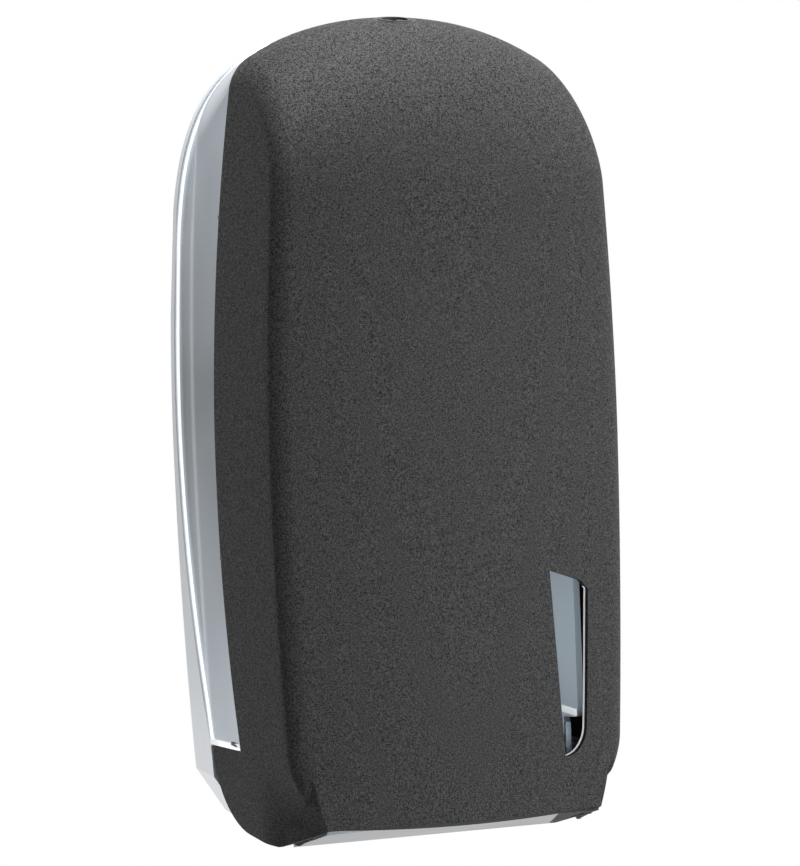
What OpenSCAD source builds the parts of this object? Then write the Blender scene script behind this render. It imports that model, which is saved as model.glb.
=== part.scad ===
/* [Cover] */
// Width of the cover at its widest level
cover_w = 133; // [129:1:150]
// Height of the cover's top above its lower front corners
cover_h = 298.8; // [290:0.1:315]
// Distance of the cover's front from the wall
cover_d = 158; // [152:1:170]
// Level at which the cover is widest
widest_z = 140; // [120:1:160]
// How far each side draws in at the foot
foot_draw = 4.3; // [2:0.1:6]
// How far each side draws in at the top
shoulder_draw = 9.3; // [6:0.1:12]
// How far the foot of the front stands back from its head
front_lean = 5.2; // [0:0.1:8]
// Depth of the rounded nose between front and top
nose_d = 73.5; // [64:0.5:80]
// Height of the rounded nose
nose_h = 66.3; // [55:0.5:75]
// Fullness of the nose, 2 is a true ellipse
nose_power = 1.84; // [1.7:0.02:2.2]
// Crown radius of the front, seen from above
front_crown_r = 221; // [180:1:400]
// Crown radius of the top, seen from the front
top_crown_r = 125; // [110:1:200]
// Extra fall of the top towards its shoulders
shoulder_drop = 3.9; // [0:0.1:6]
// Radius of the edge between front and sides
edge_r = 6.6; // [5.5:0.1:9]

/* [Skin] */
// Wall of the dark outer skin
skin_t = 1.6; // [1.2:0.1:2]
// Gap between the skin and the carcase under it
skin_gap = 0.1; // [0.05:0.05:0.2]
// Distance from the wall to the skin's rear edge where it comes nearest
skin_rear_y = 63; // [60:1:68]
// Level at which the skin's rear edge comes nearest the wall
skin_rear_z = 115; // [100:1:130]
// Radius of the skin's rear edge above that level
skin_upper_r = 740; // [650:10:900]
// Radius of the skin's rear edge below that level
skin_lower_r = 460; // [400:10:600]
// Level of the skin's lower edge across the front
front_edge_z = 4.4; // [3:0.1:7]
// Level of the step above the skin's lobes, at its front end
step_z = 24.2; // [22:0.1:28]
// How far that step falls towards the wall
step_fall = 2.6; // [0:0.1:4]
// Distance from the wall to the rear of the skin's lobes
lobe_rear_y = 30; // [28:1:34]
// Depth of the lobes below the lower front corners
lobe_drop = 7; // [5:0.5:9]
// Length of the rounded rear corner of a lobe
lobe_corner_d = 44; // [34:1:50]
// Height of the rounded rear corner of a lobe
lobe_corner_h = 24; // [20:1:27]
// Radius at which the lower front corners curl inwards
curl_r = 26; // [22:1:32]
// Level below which the lower front corners curl inwards
curl_z = 30; // [26:1:34]
// Distance over which that curl dies out towards the wall
curl_d = 45; // [35:1:50]
// Level of the top of the crease beside each lower front corner
fold_z = 25.5; // [20:0.5:27]
// How far the crease draws in at the foot of the front
fold_w = 10.2; // [9:0.2:12]
// Depth of the fold behind the crease, at its foot
fold_d = 25; // [18:1:30]
// Length of the clip notches in the skin's rear edge
notch_l = 2.3; // [1.5:0.1:3]

/* [Carcase] */
// Wall of the silver carcase
carcase_t = 2.2; // [1.8:0.1:2.6]
// How far the silver band lies below the skin's face
band_in = 0.4; // [0.2:0.1:0.8]
// Distance from the wall to the carcase's rear rim, upper part
rim_y = 6; // [5:0.5:9]
// How much further forward the rim runs at the step
rim_sweep = 23; // [18:1:24]
// Level below which the rim sweeps forward
rim_sweep_z = 165; // [140:1:180]
// Distance from the wall to the front of the moulded cove round the rim
cove_y = 33; // [30:1:36]
// Width of the cove
cove_w = 11; // [8:1:14]
// How far the cove steps in
cove_in = 0.9; // [0.5:0.1:1.4]
// Level at which the silver shoulder begins at the rear
shoulder_z = 252; // [240:1:260]
// Height of the sill at the foot of the silver band
sill_h = 2.4; // [1.5:0.1:3]
// How far the sill stands out
sill_out = 0.8; // [0.5:0.1:1]
// Length of the release slot in the sill
slot_l = 9; // [6:1:12]
// How far the carcase's lip hangs below the skin's front edge
lip_drop = 4.1; // [3:0.1:5]
// Thickness of the rolled lip
lip_t = 4.4; // [3:0.1:5]

/* [Window] */
// Distance from the centre to the window's long side
window_x = 33.4; // [28:0.1:36]
// Width of the window at its top
window_w = 14.8; // [12:0.1:16]
// Width of the window just above its tip
window_foot_w = 8.9; // [7:0.1:11]
// Level of the window's tip
window_z = 25.8; // [20:0.5:32]
// Height of the window
window_h = 67; // [55:1:75]
// How much smaller the carcase's opening is, on every side
window_step = 0.8; // [0.4:0.1:1.2]
// Thickness of the clear lens
lens_t = 1.2; // [1:0.1:2]
// How far the lens reaches past the opening
lens_lap = 3.4; // [2.5:0.1:4]

/* [Base] */
// Wall of the back plate
plate_t = 3; // [2.5:0.1:4]
// Wall of the rim that stands round the back plate
plate_rim_t = 2.4; // [2:0.1:3]
// How far the rim stands out past the cover
plate_proud = 0.6; // [0.4:0.1:1.2]
// Gap between the rim and the closed cover
rim_gap = 0.5; // [0.3:0.1:0.8]
// Depth of the foot below the lower front corners
plate_foot = 9; // [8:0.5:11]
// Level at which the foot's chamfers begin
chamfer_z = 9; // [6:1:11]
// Width of each chamfer
chamfer_w = 11.4; // [8:0.2:14]
// Level of the middle of the wall screws
mount_z = 150; // [140:1:160]
// Spacing of the wall screws across
screw_x = 64; // [50:1:76]
// Spacing of the wall screws up and down
screw_z = 170; // [150:1:180]
// Radius of the wall screw holes
screw_hole_r = 2.6; // [2:0.1:3]
// Radius of the bosses round the wall screws
screw_boss_r = 7; // [5:0.5:8]
// Height of the bosses round the wall screws
screw_boss_h = 1.6; // [1:0.1:2]

/* [Magazine] */
// Room between the carcase and each magazine wall, beside the hinge
side_room = 4.5; // [4:0.1:6]
// Thickness of the magazine walls
magazine_t = 2.4; // [2:0.1:3]
// Distance from the cover's front to the magazine's front edge
magazine_front_room = 31; // [28:1:40]
// Distance from the cover's top to the magazine's top
magazine_top_room = 53; // [50:1:70]
// Level of the foot of the magazine's front edge
magazine_step_z = 34.5; // [30:0.5:45]
// How far the magazine's sides step back below it
magazine_step_d = 15; // [10:1:20]
// Width of the flange behind each magazine wall
flange_w = 10; // [8:0.5:14]
// Thickness of that flange
flange_t = 2; // [1.6:0.1:3]
// Height of the magazine's foot above the lobes' lowest point
magazine_foot = 8; // [6:0.5:10]
// Thickness of the outlet tray
tray_t = 2.2; // [2:0.1:3]
// Level of the tray's floor
tray_z = 13; // [12:0.5:18]
// Height of the tray's turned-up edges
tray_edge_h = 14; // [12:0.5:18]
// Distance from the cover's front to the tray's front
tray_front_room = 20; // [18.5:0.5:26]
// Width of the outlet
outlet_w = 66; // [50:1:76]
// Depth of the outlet
outlet_d = 54; // [40:1:60]
// Corner radius of the outlet
outlet_r = 18; // [10:1:20]
// Height of the rounded lip round the outlet
outlet_lip_h = 4; // [3:0.5:6]

/* [Hinge and lock] */
// Distance from the wall to the hinge axis
hinge_y = 50; // [48:1:54]
// Level of the hinge axis
hinge_z = 9; // [8:0.5:10]
// Radius of the hinge pins
hinge_pin_r = 2.5; // [2:0.1:3]
// Running clearance of a pin in its bush, and of the plug in its housing
run_gap = 0.05; // [0.03:0.01:0.08]
// Wall of the hinge bushes
bush_t = 1.6; // [1.2:0.1:2]
// Wall of the bosses that hold the bushes
boss_t = 3; // [2:0.5:4]
// Place of the lock on the nose, in degrees from the front
lock_at = 77; // [72:0.2:79]
// Radius of the lock's rim
lock_r = 8.2; // [7.6:0.1:9]
// Height of the lock rim above the skin
lock_proud = -0.3; // [-0.5:0.1:1]
// Wall between the lock's thread and its plug
lock_t = 1.4; // [1:0.1:1.6]
// Radius of the lock's turning plug
plug_r = 5; // [4.5:0.1:5.4]
// Length of the lock's barrel below the skin
barrel_l = 15; // [13:0.5:18]
// Thickness of the lock nut
nut_t = 3.5; // [3:0.1:4.5]
// Thickness of the lock cam
cam_t = 2.4; // [2:0.1:3]
// Length of the lock cam from its axis
cam_l = 15; // [13:0.5:17]
// Width of the lock cam's arm
cam_w = 6; // [5:0.5:7]
// Clearance between the turned cam and its keeper
cam_gap = 1; // [0.6:0.1:1.5]
// Thickness of the keeper
keeper_t = 2.5; // [2:0.1:3]
// Width of the keeper
keeper_w = 9; // [7:0.5:11]
// Height of the keeper's foot on the back plate
keeper_foot_h = 30; // [26:1:36]
// Radius of the small screws' shanks
small_screw_r = 1.5; // [1.2:0.1:1.8]
// Radius of the small screws' heads
small_head_r = 3; // [2.6:0.1:3.4]
// Height of the small screws' heads
small_head_h = 1.8; // [1.4:0.1:2.2]

/* [Hidden] */
$fn = 48;

silver = "#AEB7BD";
panel_grey = "#8F9AA2";
dark_film = "#454546";
black = "#191A1C";
steel = "#B9BDC0";

far = 400;
fit = 0.02;
nose_z = cover_h - nose_h;
nose_y = nose_d - cover_d;
sheet_steps = 12;
edge_steps = 5;
flank_steps = 2;
foot_steps = 8;
front_steps = 8;
nose_steps = 13;
raw_foot_z = -lobe_drop - 5;
carcase_in = skin_t + skin_gap;
carcase_face = carcase_in + carcase_t;

// Half the cover's width at a level
function half_w(z) = let(top = min(z, cover_h))
    cover_w / 2 - (top < widest_z
        ? foot_draw * pow((widest_z - top) / widest_z, 2)
        : shoulder_draw * pow((top - widest_z) / (cover_h - widest_z), 1.8));

// Stations up the centre line: [y, z, angle of the surface's normal above level]
function front_station(z, in) = [in - cover_d + front_lean * (nose_z - z) / nose_z, z, 0];
function nose_station(a, in) = [
    nose_y - (nose_d - in) * pow(cos(a), 2 / nose_power),
    nose_z + (nose_h - in) * pow(sin(a), 2 / nose_power),
    atan2(pow(sin(a), 2 - 2 / nose_power) / nose_h, pow(cos(a), 2 - 2 / nose_power) / nose_d)
];
function stations(in, z0) = concat(
    [front_station(z0, in)],
    [for (i = [1 : foot_steps - 1]) front_station(raw_foot_z + (curl_z - raw_foot_z) * i / foot_steps, in)],
    [for (i = [0 : front_steps - 1]) front_station(curl_z + (nose_z - curl_z) * i / front_steps, in)],
    [for (i = [0 : nose_steps]) nose_station(90 * i / nose_steps, in)]
);

// Fall of the crowned sheet at a distance x from the centre line
function crown(x, phi, in) =
    let(r = 1 / (pow(cos(phi), 2) / (front_crown_r - in) + pow(sin(phi), 2) / (top_crown_r - in)))
    r - sqrt(r * r - x * x) + pow(sin(phi), 2) * shoulder_drop * pow(x / (0.45 * cover_w), 4);
// Inward curl of the lower front corners, at a depth behind the front
function curl(z) = pow(max(0, curl_z - z), 2) / (2 * curl_r);
function curl_share(d) = pow(1 - min(1, max(0, d - edge_r) / curl_d), 2);
function side_half_w(s, in) =
    let(w1 = half_w(s[1] - sin(s[2]) * crown(half_w(s[1]), s[2], in)))
    half_w(s[1] - sin(s[2]) * (crown(w1, s[2], in) + edge_r - in)) - in;

// One half of a crowned section across a station, from the rear of its side to the
// centre line: [distance from the centre line, distance behind the sheet]
side_depths = [0.025, 0.05, 0.09, 0.14, 0.5, 1];
function fold_depth(z) = min(0.75 * curl_d, fold_d * pow((fold_z - z) / (fold_z - front_edge_z), 2.2));
function crease_x(z) =
    let(u = (fold_z - z) / (fold_z - front_edge_z))
    half_w(fold_z) - edge_r - curl(fold_z)
        - u * (half_w(fold_z) - edge_r - curl(fold_z) - half_w(front_edge_z) + fold_w) + 3.2 * u * max(0, 1 - u);
function round_drop(d, r) = d < r ? r - sqrt(r * r - pow(r - d, 2)) : 0;
function side_x(d, z, w, in) = w - curl_share(d + in) * curl(z) - round_drop(d, edge_r - in);
function half_section(s, in) =
    let(z = s[1], w = side_half_w(s, in), r = edge_r - in, low = s[2] == 0 && z < fold_z)
    let(fd = low ? fold_depth(z) : 0)
    let(rim = low ? crease_x(z) - in : w - r - curl(z))
    let(far_d = edge_r + curl_d)
    concat(
        [for (k = [len(side_depths) - 1 : -1 : 0])
            let(d = fd + (far_d - fd) * side_depths[k], e = k < 4 && !low ? r * (1 - sin(90 * (3 - k) / edge_steps)) : d)
            [side_x(e, z, w, in), e]],
        let(e = r * (1 - sin(360 / edge_steps)))
        [low ? let(share = pow(1 - (fold_z - z) / (fold_z - raw_foot_z), 3))
            [min(rim + 0.25 * fd + 0.05 + share * (r - round_drop(e, r)), side_x(fd, z, w, in) - 0.3),
             fd + 0.05 + share * (e - 0.05)]
             : [side_x(e, z, w, in), e]],
        [for (k = [0 : sheet_steps / 2]) [rim * (1 - 2 * k / sheet_steps), 0]]
    );
// The whole section, with its flat sides run back to a given distance from the wall
function cover_row(s, in, back) =
    let(half = half_section(s, in), n = len(half))
    let(flat = concat([for (p = half) [-p[0], p[1]]],
        [for (k = [n - 2 : -1 : 0]) half[k]]))
    let(row = [for (p = flat)
        let(round_e = s[2] > 0 && p[1] > edge_r ? edge_r - in : p[1])
        let(fall = crown(s[2] > 0 && p[1] > edge_r ? half[flank_steps][0] : p[0], s[2], in) + round_e)
        [p[0], s[0] + cos(s[2]) * fall + (p[1] - round_e), s[1] - sin(s[2]) * fall]])
    let(m = len(row))
    concat([[row[0][0], -back, row[0][2]]], row, [[row[m - 1][0], -back, row[m - 1][2]]]);

// Pairs of triangles between neighbouring rows and columns of points
function grid_faces(rows, cols, off, flip) = [
    for (i = [0 : rows - 2], j = [0 : cols - 2])
        let(a = off + i * cols + j, b = a + 1, c = a + cols, d = c + 1)
        each flip ? [[a, b, d], [a, d, c]] : [[a, d, b], [a, c, d]]
];

// The cover's closed outer form, drawn in by an inset
module cover_solid(in) {
    back = lobe_rear_y - 6 - in;
    rows = [for (s = stations(in, raw_foot_z - in)) cover_row(s, in, back)];
    n = len(rows);
    m = len(rows[0]);
    a = flank_steps + 2;
    z = m - flank_steps - 3;
    top = [for (j = [a : z]) [rows[n - 1][j][0], -back, rows[n - 1][j][2]]];
    last = (n - 1) * m;
    function top_id(j) = n * m + j - a;
    polyhedron(
        points = concat([for (r = rows) each r], top),
        faces = concat(
            grid_faces(n, m, 0, false),
            [for (j = [a : z - 1]) each [
                [last + j, top_id(j + 1), last + j + 1],
                [last + j, top_id(j), top_id(j + 1)]
            ]],
            [for (j = [0 : a - 1]) [top_id(a), last + j + 1, last + j]],
            [for (j = [z : m - 2]) [top_id(z), last + j + 1, last + j]],
            [concat(
                [for (i = [0 : n - 1]) i * m + m - 1],
                [for (j = [z : -1 : a]) top_id(j)],
                [for (i = [n - 1 : -1 : 0]) i * m]
            )],
            [[for (j = [0 : m - 1]) j]]
        )
    );
}

module cover_shell(in, wall) {
    difference() {
        cover_solid(in);
        cover_solid(in + wall);
    }
}

// A side view outline of [distance from the wall, level] points, drawn through the width
module across(points, x0 = -far, x1 = far) {
    translate([x0, 0, 0]) rotate([90, 0, 90]) linear_extrude(x1 - x0)
        polygon([for (p = points) [-p[0], p[1]]]);
}
// A front view outline, drawn from one distance from the wall to another
module forward(y0, y1) {
    translate([0, -y0, 0]) rotate([90, 0, 0]) linear_extrude(y1 - y0) children();
}

// Distance from the wall to the skin's rear edge, and to the carcase's rim, at a level
function skin_edge(z) = skin_rear_y
    + pow(z - skin_rear_z, 2) / (2 * (z > skin_rear_z ? skin_upper_r : skin_lower_r));
function step_level(y) = step_z - step_fall * (skin_edge(step_z) - y) / (skin_edge(step_z) - lobe_rear_y);
rim_foot_z = step_level(rim_y + rim_sweep) + 0.2;
function rim_edge(z) = rim_y
    + rim_sweep * pow(max(0, (rim_sweep_z - z) / (rim_sweep_z - rim_foot_z)), 2.3);

// Lower outline from the rear of a lobe to the front edge, drawn in by a margin
function lobe_foot(m, edge_z) = concat(
    [for (a = [0 : 10 : 90])
        [lobe_rear_y + lobe_corner_d - (lobe_corner_d - m) * cos(a),
         lobe_corner_h - lobe_drop - (lobe_corner_h - m) * sin(a)]],
    [[cover_d - 62, m - lobe_drop], [cover_d - 22, m - 1.4], [cover_d - 11, edge_z], [far, edge_z]]
);

// Blade-shaped window, drawn in by a step
module window_blade(in) {
    top = window_z + window_h;
    offset(delta = -in) polygon([
        [window_x, top],
        [window_x + 0.85 * window_w, top - 4.6],
        [window_x + window_w, top - 8],
        [window_x + window_w - 1, window_z + 20],
        for (a = [0 : 15 : 90])
            [window_x + 4.4 + window_foot_w * cos(a), window_z + 11 - 11 * sin(a)]
    ]);
}

// Frame of the lock: origin on the skin, third axis out along the barrel
lock_s = nose_station(lock_at, 0);
lock_tilt = 90 - lock_s[2];
module lock_place() {
    translate([0, lock_s[0], lock_s[1]]) rotate([lock_tilt, 0, 0]) children();
}
// Side view position of a point in the lock's frame: [distance from the wall, level]
function lock_side(y, z) = [
    z * sin(lock_tilt) - y * cos(lock_tilt) - lock_s[0],
    lock_s[1] + y * sin(lock_tilt) + z * cos(lock_tilt)
];
pad_z = -carcase_face - 2;
barrel_r = plug_r + lock_t;

module front_skin() {
    notches = [skin_rear_z - 18.5, nose_z - 7];
    color(dark_film) difference() {
        intersection() {
            cover_shell(0, skin_t);
            across(concat(
                lobe_foot(0, front_edge_z),
                [[far, far]],
                [for (i = [0 : 18]) let(z = cover_h + 8 + (step_z - cover_h - 8) * i / 18) [skin_edge(z), z]],
                [[lobe_rear_y, step_z - step_fall]]
            ));
        }
        forward(cover_d / 2, far) window_blade(0);
        lock_place() translate([0, 0, -10]) cylinder(r = lock_r + 0.1, h = 20);
        for (z = notches)
            translate([-far, -skin_edge(z) - notch_l, z]) cube([2 * far, notch_l + 1, 1.3]);
    }
}

// Half outline of the silver band, from its foot to the top centre: [x, z] points.
// It runs from the skin's corner, by a wide shoulder, to the arch of the back plate.
corner_steps = edge_steps + sheet_steps / 2;
side_steps = 6;
arch_z = 190;
arch_start = 9.7;
band_foot_z = step_z - step_fall - 8;
function arch_point(a, out) =
    let(z = arch_z + (cover_h + out - arch_z) * pow(sin(a), 2 / 4.12))
    [(half_w(z) + out) * pow(cos(a), 2 / 2.3), z];
function front_corner(in) =
    let(row = cover_row(nose_station(90, in), in, 0), n = len(row))
    [for (k = [0 : corner_steps])
        let(p = row[n - flank_steps - 2 - k])
        [p[0], p[2]]];
function wide_corner(in) = [for (k = [0 : corner_steps])
    let(b = 90 * k / corner_steps)
    [(half_w(shoulder_z) - in) * pow(cos(b), 0.95),
     shoulder_z + (cover_h - in - shoulder_z) * pow(sin(b), 0.95)]];
function arch_corner(out) = [for (k = [0 : corner_steps])
    arch_point(arch_start + (90 - arch_start) * k / corner_steps, out)];
function arch_half_w(z, out) =
    (half_w(z) + out) * pow(1 - pow(max(0, z - arch_z) / (cover_h - arch_z), 4.12), 1 / 2.3);
function straight_side(corner, in) = [for (k = [0 : side_steps - 1])
    let(z = band_foot_z + (corner[0][1] - band_foot_z) * k / side_steps) [half_w(z) - in, z]];
function arched_side(corner, out) = [for (k = [0 : side_steps - 1])
    let(z = band_foot_z + (corner[0][1] - band_foot_z) * k / side_steps) [arch_half_w(z, out), z]];
function band_half(s, q, in) =
    let(front = front_corner(in), wide = wide_corner(in), arch = arch_corner(-in - cove_in))
    let(corner = (1 - s) * front + s * wide)
    (1 - q) * concat(straight_side(corner, in), corner)
    + q * concat(arched_side(arch, -in - cove_in), arch);
function band_row(y, s, q, in) =
    let(half = band_half(s, q, in), n = len(half))
    concat([for (p = half) [-p[0], -y, p[1]]],
        [for (k = [n - 2 : -1 : 0]) [half[k][0], -y, half[k][1]]]);
band_start_y = -nose_y - 5;
band_rows = concat(
    [[-nose_y + 8, 0, 0]],
    [for (s = [0 : 0.25 : 1]) [band_start_y - s * (band_start_y - cove_y - 3), s, 0]],
    [for (q = [0 : 1 / 3 : 1]) [cove_y - q * cove_w, 1, q * q * (3 - 2 * q)]],
    [[-1, 1, 1]]
);
module band_shell(wall) {
    outer = [for (r = band_rows) band_row(r[0], r[1], r[2], band_in)];
    inner = [for (r = band_rows) band_row(r[0], r[1], r[2], band_in + wall)];
    n = len(outer);
    m = len(outer[0]);
    off = n * m;
    polyhedron(
        points = concat([for (r = outer) each r], [for (r = inner) each r]),
        faces = concat(
            grid_faces(n, m, 0, false),
            grid_faces(n, m, off, true),
            [for (j = [0 : m - 2]) each let(a = j, b = (n - 1) * m + j) [
                [a, a + 1, off + a + 1], [a, off + a + 1, off + a],
                [b + 1, b, off + b], [b + 1, off + b, off + b + 1]
            ]],
            [for (i = [0 : n - 2]) each let(a = i * m, b = i * m + m - 1) [
                [a + m, a, off + a], [a + m, off + a, off + a + m],
                [b, b + m, off + b + m], [b, off + b + m, off + b]
            ]]
        )
    );
}

module hinge_bosses() {
    for (side = [-1, 1]) translate([side * boss_x0, -hinge_y, hinge_z])
        rotate([0, side * 90, 0]) cylinder(r = bush_r + boss_t, h = boss_x1 - boss_x0);
}
hinge_half_w = half_w(hinge_z) - carcase_face;
magazine_x = hinge_half_w - side_room - magazine_t;
boss_x0 = magazine_x + magazine_t + 1;
boss_x1 = hinge_half_w + 1.2;
bush_r = hinge_pin_r + run_gap + bush_t;
bush_x0 = magazine_x + magazine_t + 0.3;
bush_x1 = hinge_half_w + 0.2;

// Plan view of a strip that follows the front's crown at its foot: half width, inset, thickness
module front_arc(w, in, t) {
    y = front_station(front_edge_z, in)[0];
    polygon(concat(
        [for (k = [-12 : 12]) let(x = w * k / 12) [x, y + crown(x, 0, in)]],
        [for (k = [12 : -1 : -12]) let(x = w * k / 12) [x, y + crown(x, 0, in) + t]]
    ));
}

module cover_carcase() {
    edge = [for (i = [0 : 18]) let(z = cover_h + 8 + (step_z - cover_h - 8) * i / 18) [skin_edge(z), z]];
    lap = 3;
    color(silver) difference() {
        union() {
            // Shell under the skin, with lap under the band
            intersection() {
                cover_shell(carcase_in, carcase_t);
                across(concat(
                    lobe_foot(1.2, front_edge_z - lip_drop),
                    [[far, far]],
                    [for (p = edge) [p[0] - lap, p[1]]],
                    [[lobe_rear_y + 1.2, step_z - step_fall]]
                ));
            }
            // Silver band round the sides and the top
            intersection() {
                band_shell(carcase_t + 0.4);
                across(concat(
                    [for (p = edge) [p[0] - 0.15, p[1] + 0.2]],
                    [for (i = [0 : 12]) let(z = rim_foot_z + (rim_sweep_z - rim_foot_z) * i / 12)
                        [rim_edge(z), z]],
                    [[rim_y, cover_h + 8]]
                ));
            }
            // Sill along the foot of the band
            for (side = [-1, 1]) mirror([side < 0 ? 1 : 0, 0, 0]) across([
                [skin_edge(step_z) - 1.5, step_z + 0.3],
                [lobe_rear_y - 1, step_level(lobe_rear_y - 1) + 0.3],
                [lobe_rear_y - 1, step_level(lobe_rear_y - 1) + 0.3 + sill_h],
                [skin_edge(step_z) - 1.5, step_z + 0.3 + sill_h]
            ], half_w(step_z) - band_in - 1.5, half_w(step_z) - band_in + sill_out);
            // Rolled lip below the skin's front edge
            translate([0, 0, front_edge_z - lip_drop]) linear_extrude(lip_drop - 0.5)
                front_arc(half_w(front_edge_z) - fold_w - skin_t - 1.4, carcase_in - 0.9, lip_t);
            hinge_bosses();
            lock_place() translate([0, 0, pad_z]) cylinder(r = barrel_r + 4, h = -0.72 * pad_z - 0.9);
        }
        forward(cover_d / 2, far) window_blade(window_step);
        lock_place() translate([0, 0, -30]) cylinder(r = barrel_r + fit, h = 60);
        for (side = [-1, 1]) translate([side * (boss_x0 - 2), -hinge_y, hinge_z])
            rotate([0, side * 90, 0]) cylinder(r = bush_r + fit, h = bush_x1 + fit - boss_x0 + 2);
        // Release slot in each sill
        for (side = [-1, 1]) translate([side * half_w(step_z), -skin_edge(step_z) + 4 + slot_l / 2, step_z + 1.7])
            cube([2 * (sill_out + 1.4), slot_l, 1], center = true);
    }
}

module window_lens() {
    lean = atan(front_lean / nose_z);
    color("#9FB0B8") intersection() {
        translate([0, -cover_d + front_lean, 0]) rotate([lean, 0, 0]) translate([0, cover_d - front_lean, 0])
            linear_extrude(window_z + window_h + 20) front_arc(window_x + window_w + 8, carcase_face + 0.15, lens_t);
        forward(cover_d / 2, far) window_blade(-lens_lap);
    }
}

// Front view outline of the back plate, drawn in by an inset
module base_outline(in) {
    out = plate_proud - in;
    half = concat(
        [[half_w(chamfer_z) + out - chamfer_w - 0.4 * in, in - plate_foot],
         [half_w(chamfer_z) + out, chamfer_z + 0.25 * in]],
        [for (k = [1 : 8]) let(z = chamfer_z + (arch_z - chamfer_z) * k / 8) [half_w(z) + out, z]],
        [for (a = [8 : 6 : 86]) arch_point(a, out)],
        [[0, cover_h + out]]
    );
    polygon(concat(half, [for (k = [len(half) - 2 : -1 : 0]) [-half[k][0], half[k][1]]]));
}

module back_plate() {
    color(silver) difference() {
        union() {
            forward(0, plate_t) base_outline(0);
            intersection() {
                forward(0, lobe_rear_y + 2) difference() {
                    base_outline(0);
                    base_outline(plate_rim_t);
                }
                across(concat(
                    [[-1, cover_h + 8], [-1, -plate_foot - 1]],
                    [[rim_edge(rim_foot_z) - rim_gap, -plate_foot - 1]],
                    [for (i = [0 : 12]) let(z = rim_foot_z + (rim_sweep_z - rim_foot_z) * i / 12)
                        [rim_edge(z) - rim_gap, z]],
                    [[rim_y - rim_gap, cover_h + 8]]
                ));
            }
            for (x = [-1, 1], z = [-1, 1]) translate([x * screw_x / 2, 0, mount_z + z * screw_z / 2])
                rotate([90, 0, 0]) cylinder(r = screw_boss_r, h = plate_t + screw_boss_h);
        }
        for (x = [-1, 1], z = [-1, 1]) translate([x * screw_x / 2, 1, mount_z + z * screw_z / 2])
            rotate([90, 0, 0]) cylinder(r = screw_hole_r, h = plate_t + screw_boss_h + 2);
        for (p = magazine_screw_places) for (side = [-1, 1])
            translate([side * p[0], 0.5, p[1]]) rotate([90, 0, 0])
                cylinder(r = small_screw_r + fit, h = plate_t + 1);
        for (p = keeper_screw_places)
            translate([p[0], 0.5, p[1]]) rotate([90, 0, 0]) cylinder(r = small_screw_r + fit, h = plate_t + 1);
    }
}

// Magazine walls
magazine_d = cover_d - magazine_front_room;
magazine_h = cover_h - magazine_top_room;
magazine_foot_z = magazine_foot - lobe_drop;
magazine_screw_places = [for (z = [40, (magazine_h + 20) / 2, magazine_h - 20])
    [magazine_x - flange_w / 2 + 0.5, z]];
tray_screw_places = [[lobe_rear_y, tray_z + 8.5], [magazine_d - magazine_step_d - 12, tray_z + 8.5]];
module magazine_wall() {
    foot_d = magazine_d - magazine_step_d;
    difference() {
        union() {
            translate([magazine_x, 0, 0]) across(concat(
                [[plate_t, magazine_h], [plate_t, 20], [plate_t + 14, magazine_foot_z],
                 [foot_d - 12, magazine_foot_z], [foot_d, magazine_foot_z + 8]],
                [[foot_d, magazine_step_z - 1]],
                [for (a = [90 : -15 : 0])
                    [magazine_d - 4 + 4 * cos(a), magazine_step_z + 4 - 4 * sin(a) + 1.2 * cos(a)]],
                [for (a = [0 : 10 : 90])
                    [magazine_d - 30 + 30 * cos(a), magazine_h - 50 + 50 * sin(a)]]
            ), 0, magazine_t);
            translate([magazine_x - flange_w, -plate_t - flange_t, 22])
                cube([flange_w + 1, flange_t, magazine_h - 22]);
            translate([magazine_x, -hinge_y, hinge_z]) rotate([0, 90, 0])
                cylinder(r = hinge_pin_r + 4.5, h = magazine_t);
        }
        translate([magazine_x - 1, -hinge_y, hinge_z]) rotate([0, 90, 0])
            cylinder(r = hinge_pin_r + fit, h = magazine_t + 2);
        for (p = magazine_screw_places) translate([p[0], 0, p[1]]) rotate([90, 0, 0])
            cylinder(r = small_screw_r + fit, h = plate_t + flange_t + 1);
        for (p = tray_screw_places) translate([magazine_x - 1, -p[0], p[1]]) rotate([0, 90, 0])
            cylinder(r = small_screw_r + fit, h = magazine_t + 2);
    }
}
module magazine_wall_right() color(panel_grey) magazine_wall();
module magazine_wall_left() color(panel_grey) mirror([1, 0, 0]) magazine_wall();

// Tray with the outlet, between the magazine walls
tray_d = cover_d - tray_front_room;
outlet_y = hinge_y + 22;
module outlet_shape(out) {
    offset(r = outlet_r + out) square([outlet_w - 2 * outlet_r, outlet_d - 2 * outlet_r], center = true);
}
module outlet_tray() {
    half = magazine_x - 0.05;
    color(black) difference() {
        union() {
            difference() {
                translate([-half, -tray_d, tray_z]) cube([2 * half, tray_d - plate_t, tray_edge_h]);
                translate([-half + tray_t, -tray_d + tray_t, tray_z + tray_t])
                    cube([2 * (half - tray_t), tray_d - plate_t, tray_edge_h]);
            }
            translate([0, -outlet_y, tray_z]) linear_extrude(tray_t + outlet_lip_h) outlet_shape(tray_t);
            translate([0, -outlet_y, tray_z - outlet_lip_h]) linear_extrude(outlet_lip_h + 1)
                outlet_shape(tray_t);
        }
        translate([0, -outlet_y, tray_z - 10]) linear_extrude(40) outlet_shape(0);
        for (p = tray_screw_places) translate([-half - 1, -p[0], p[1]]) rotate([0, 90, 0])
            cylinder(r = small_screw_r + fit, h = 2 * half + 2);
        for (side = [-1, 1]) translate([side * magazine_x, -hinge_y, hinge_z])
            rotate([0, 90, 0]) cylinder(r = hinge_pin_r + 2.6, h = 8, center = true);
        // The flanges of the magazine walls pass the tray's rear corners
        translate([-half - 1, -plate_t - flange_t - 0.3, 21.6]) cube([2 * half + 2, flange_t + 1, 20]);
    }
}

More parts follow.
